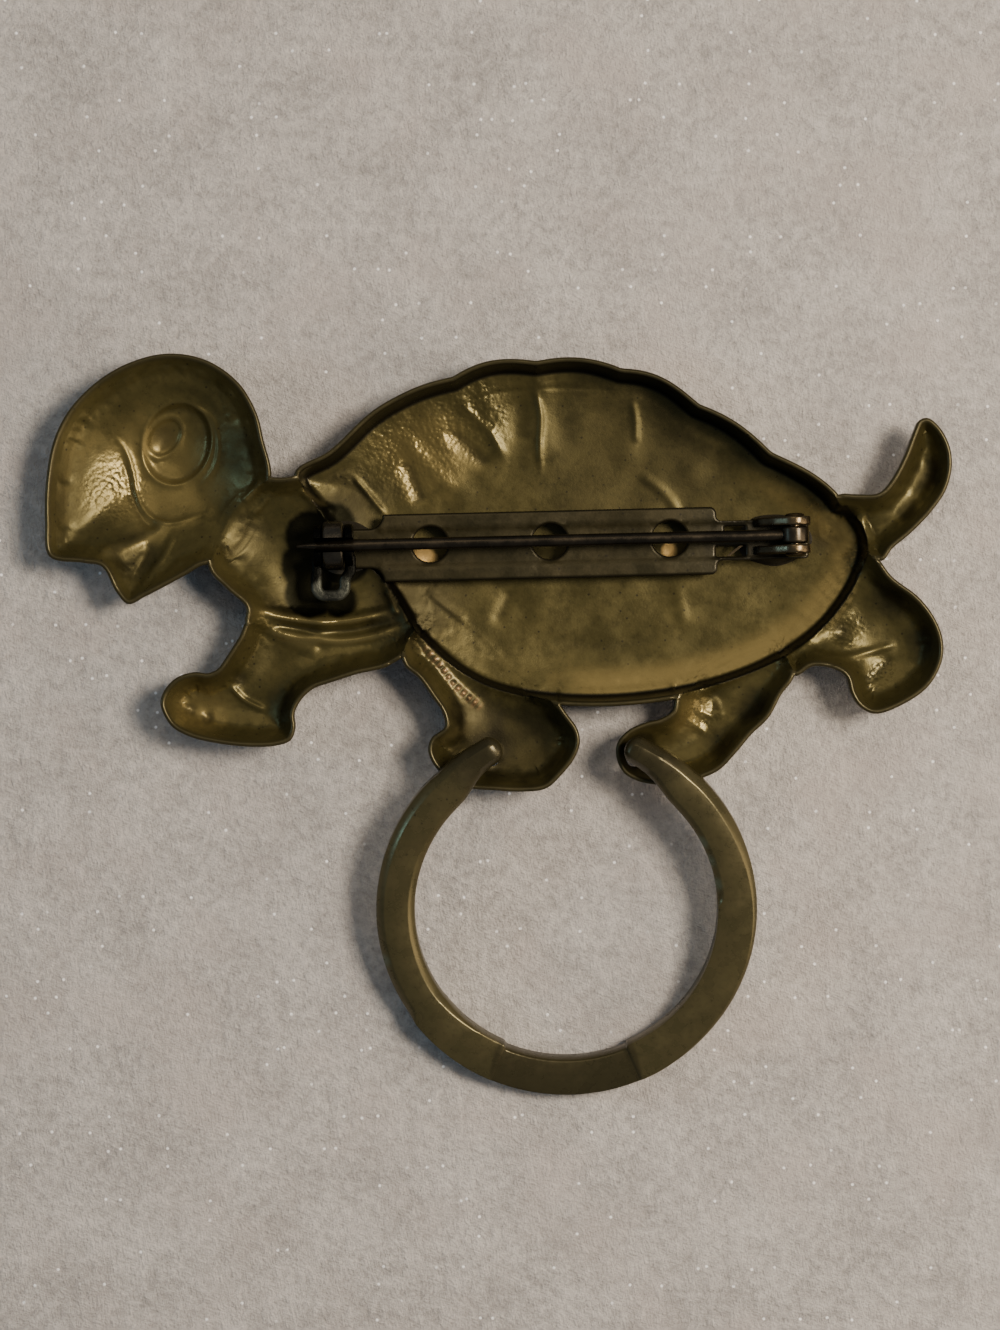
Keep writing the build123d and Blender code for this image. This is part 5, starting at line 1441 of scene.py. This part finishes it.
# Felt that the brooch lies on, a dim soft sky, a warm lamp to the upper right with a warm wall below it,
# a second lamp above, a small cool window to the left, and the camera straight above.
VIEW_MIDDLE = (0.13, 4.64)
VIEW_HEIGHT = 100.4
CAMERA_RISE = 250.0
FELT_HALF = 400.0
felt_corners = [(x * FELT_HALF, y * FELT_HALF, -0.01) for x, y in ((-1, -1), (1, -1), (1, 1), (-1, 1))]
felt = new_mesh("felt_floor", felt_corners, [(0, 1, 2, 3)])
material = bpy.data.materials.new("pale_felt")
material.use_nodes = True
shader = material.node_tree.nodes["Principled BSDF"]
here = Shade(material.node_tree).node("TexCoord", output="Object")
strands = []
for number, turn in enumerate((12.0, 68.0, 131.0)):
    combed = {
        "Vector": here, "Location": (number * 0.013, 0.0, 0.0), "Rotation": (0.0, 0.0, radians(turn)),
        "Scale": (1.0, 5.0, 1.0),
    }
    strands.append(here.node("Mapping", {"vector_type": "TEXTURE"}, combed).speckle(0.16, 3.0, 0.6))
fibres = reduce(Shade.__add__, strands)
clouds = here.speckle(6.0, 5.0, 0.6)
matted = here.speckle(0.9, 6.0, 0.75)
tone = clouds * 0.26 + matted * 0.52 + fibres * 0.075
color = tone.rises(0.36, 0.64).blend((0.29, 0.272, 0.252, 1), (0.54, 0.51, 0.475, 1))
color = (here.speckle(9.0, 2.0).rises(0.45, 0.70) * 0.5).blend(color, (0.45, 0.40, 0.365, 1))
flat = {"voronoi_dimensions": "2D"}
cells = {"Vector": here, "Scale": 1.0 / (1.3 * MM)}
# Painted glints: white specks laid into the felt's colour.
glints = 1 - here.node("TexVoronoi", flat, cells).rises(0.05, 0.12)
glints = glints * here.node("TexVoronoi", flat, cells, output="Color").rises(0.76, 0.80)
color = (glints * 0.9).blend(color, (1.0, 1.0, 1.0, 1))
lie = {"Strength": 0.9, "Distance": 0.45 * MM, "Height": matted + fibres * 0.3 + clouds}
feed(shader.inputs["Base Color"], color)
feed(shader.inputs["Roughness"], 0.95)
feed(shader.inputs["Normal"], here.node("Bump", (), lie))
felt.data.materials.append(material)


def area_lamp(name, middle, size, power, color):
    """A square lamp that faces the brooch."""
    lamp = bpy.data.lights.new(name, "AREA")
    lamp.size = size * MM
    lamp.energy = power
    lamp.color = color
    made = bpy.data.objects.new(name, lamp)
    made.location = Vector(middle) * MM
    made.rotation_euler = (-made.location).to_track_quat("-Z", "Y").to_euler()
    bpy.context.scene.collection.objects.link(made)


area_lamp("warm_lamp", (190, 62, 325), 105, 2.15, (1.0, 0.87, 0.72))
area_lamp("warm_wall", (270, -60, 110), 180, 0.45, (1.0, 0.80, 0.58))
area_lamp("ceiling_lamp", (-50, 170, 280), 150, 0.14, (1.0, 0.84, 0.62))
area_lamp("cool_window", (-226, 25, 105), 26, 0.06, (0.36, 0.70, 1.0))
world = bpy.data.worlds.new("soft_studio")
world.use_nodes = True
world.node_tree.nodes["Background"].inputs["Color"].default_value = (0.74, 0.85, 1.0, 1)
world.node_tree.nodes["Background"].inputs["Strength"].default_value = 0.24
bpy.context.scene.world = world
lens = bpy.data.cameras.new("camera")
lens.sensor_fit = "VERTICAL"
lens.sensor_height = 24.0
lens.lens = lens.sensor_height * CAMERA_RISE / VIEW_HEIGHT
lens.clip_start = 0.001
camera = bpy.data.objects.new("camera", lens)
camera.location = Vector((*VIEW_MIDDLE, RIM_Z + CAMERA_RISE)) * MM
bpy.context.scene.collection.objects.link(camera)
bpy.context.scene.camera = camera
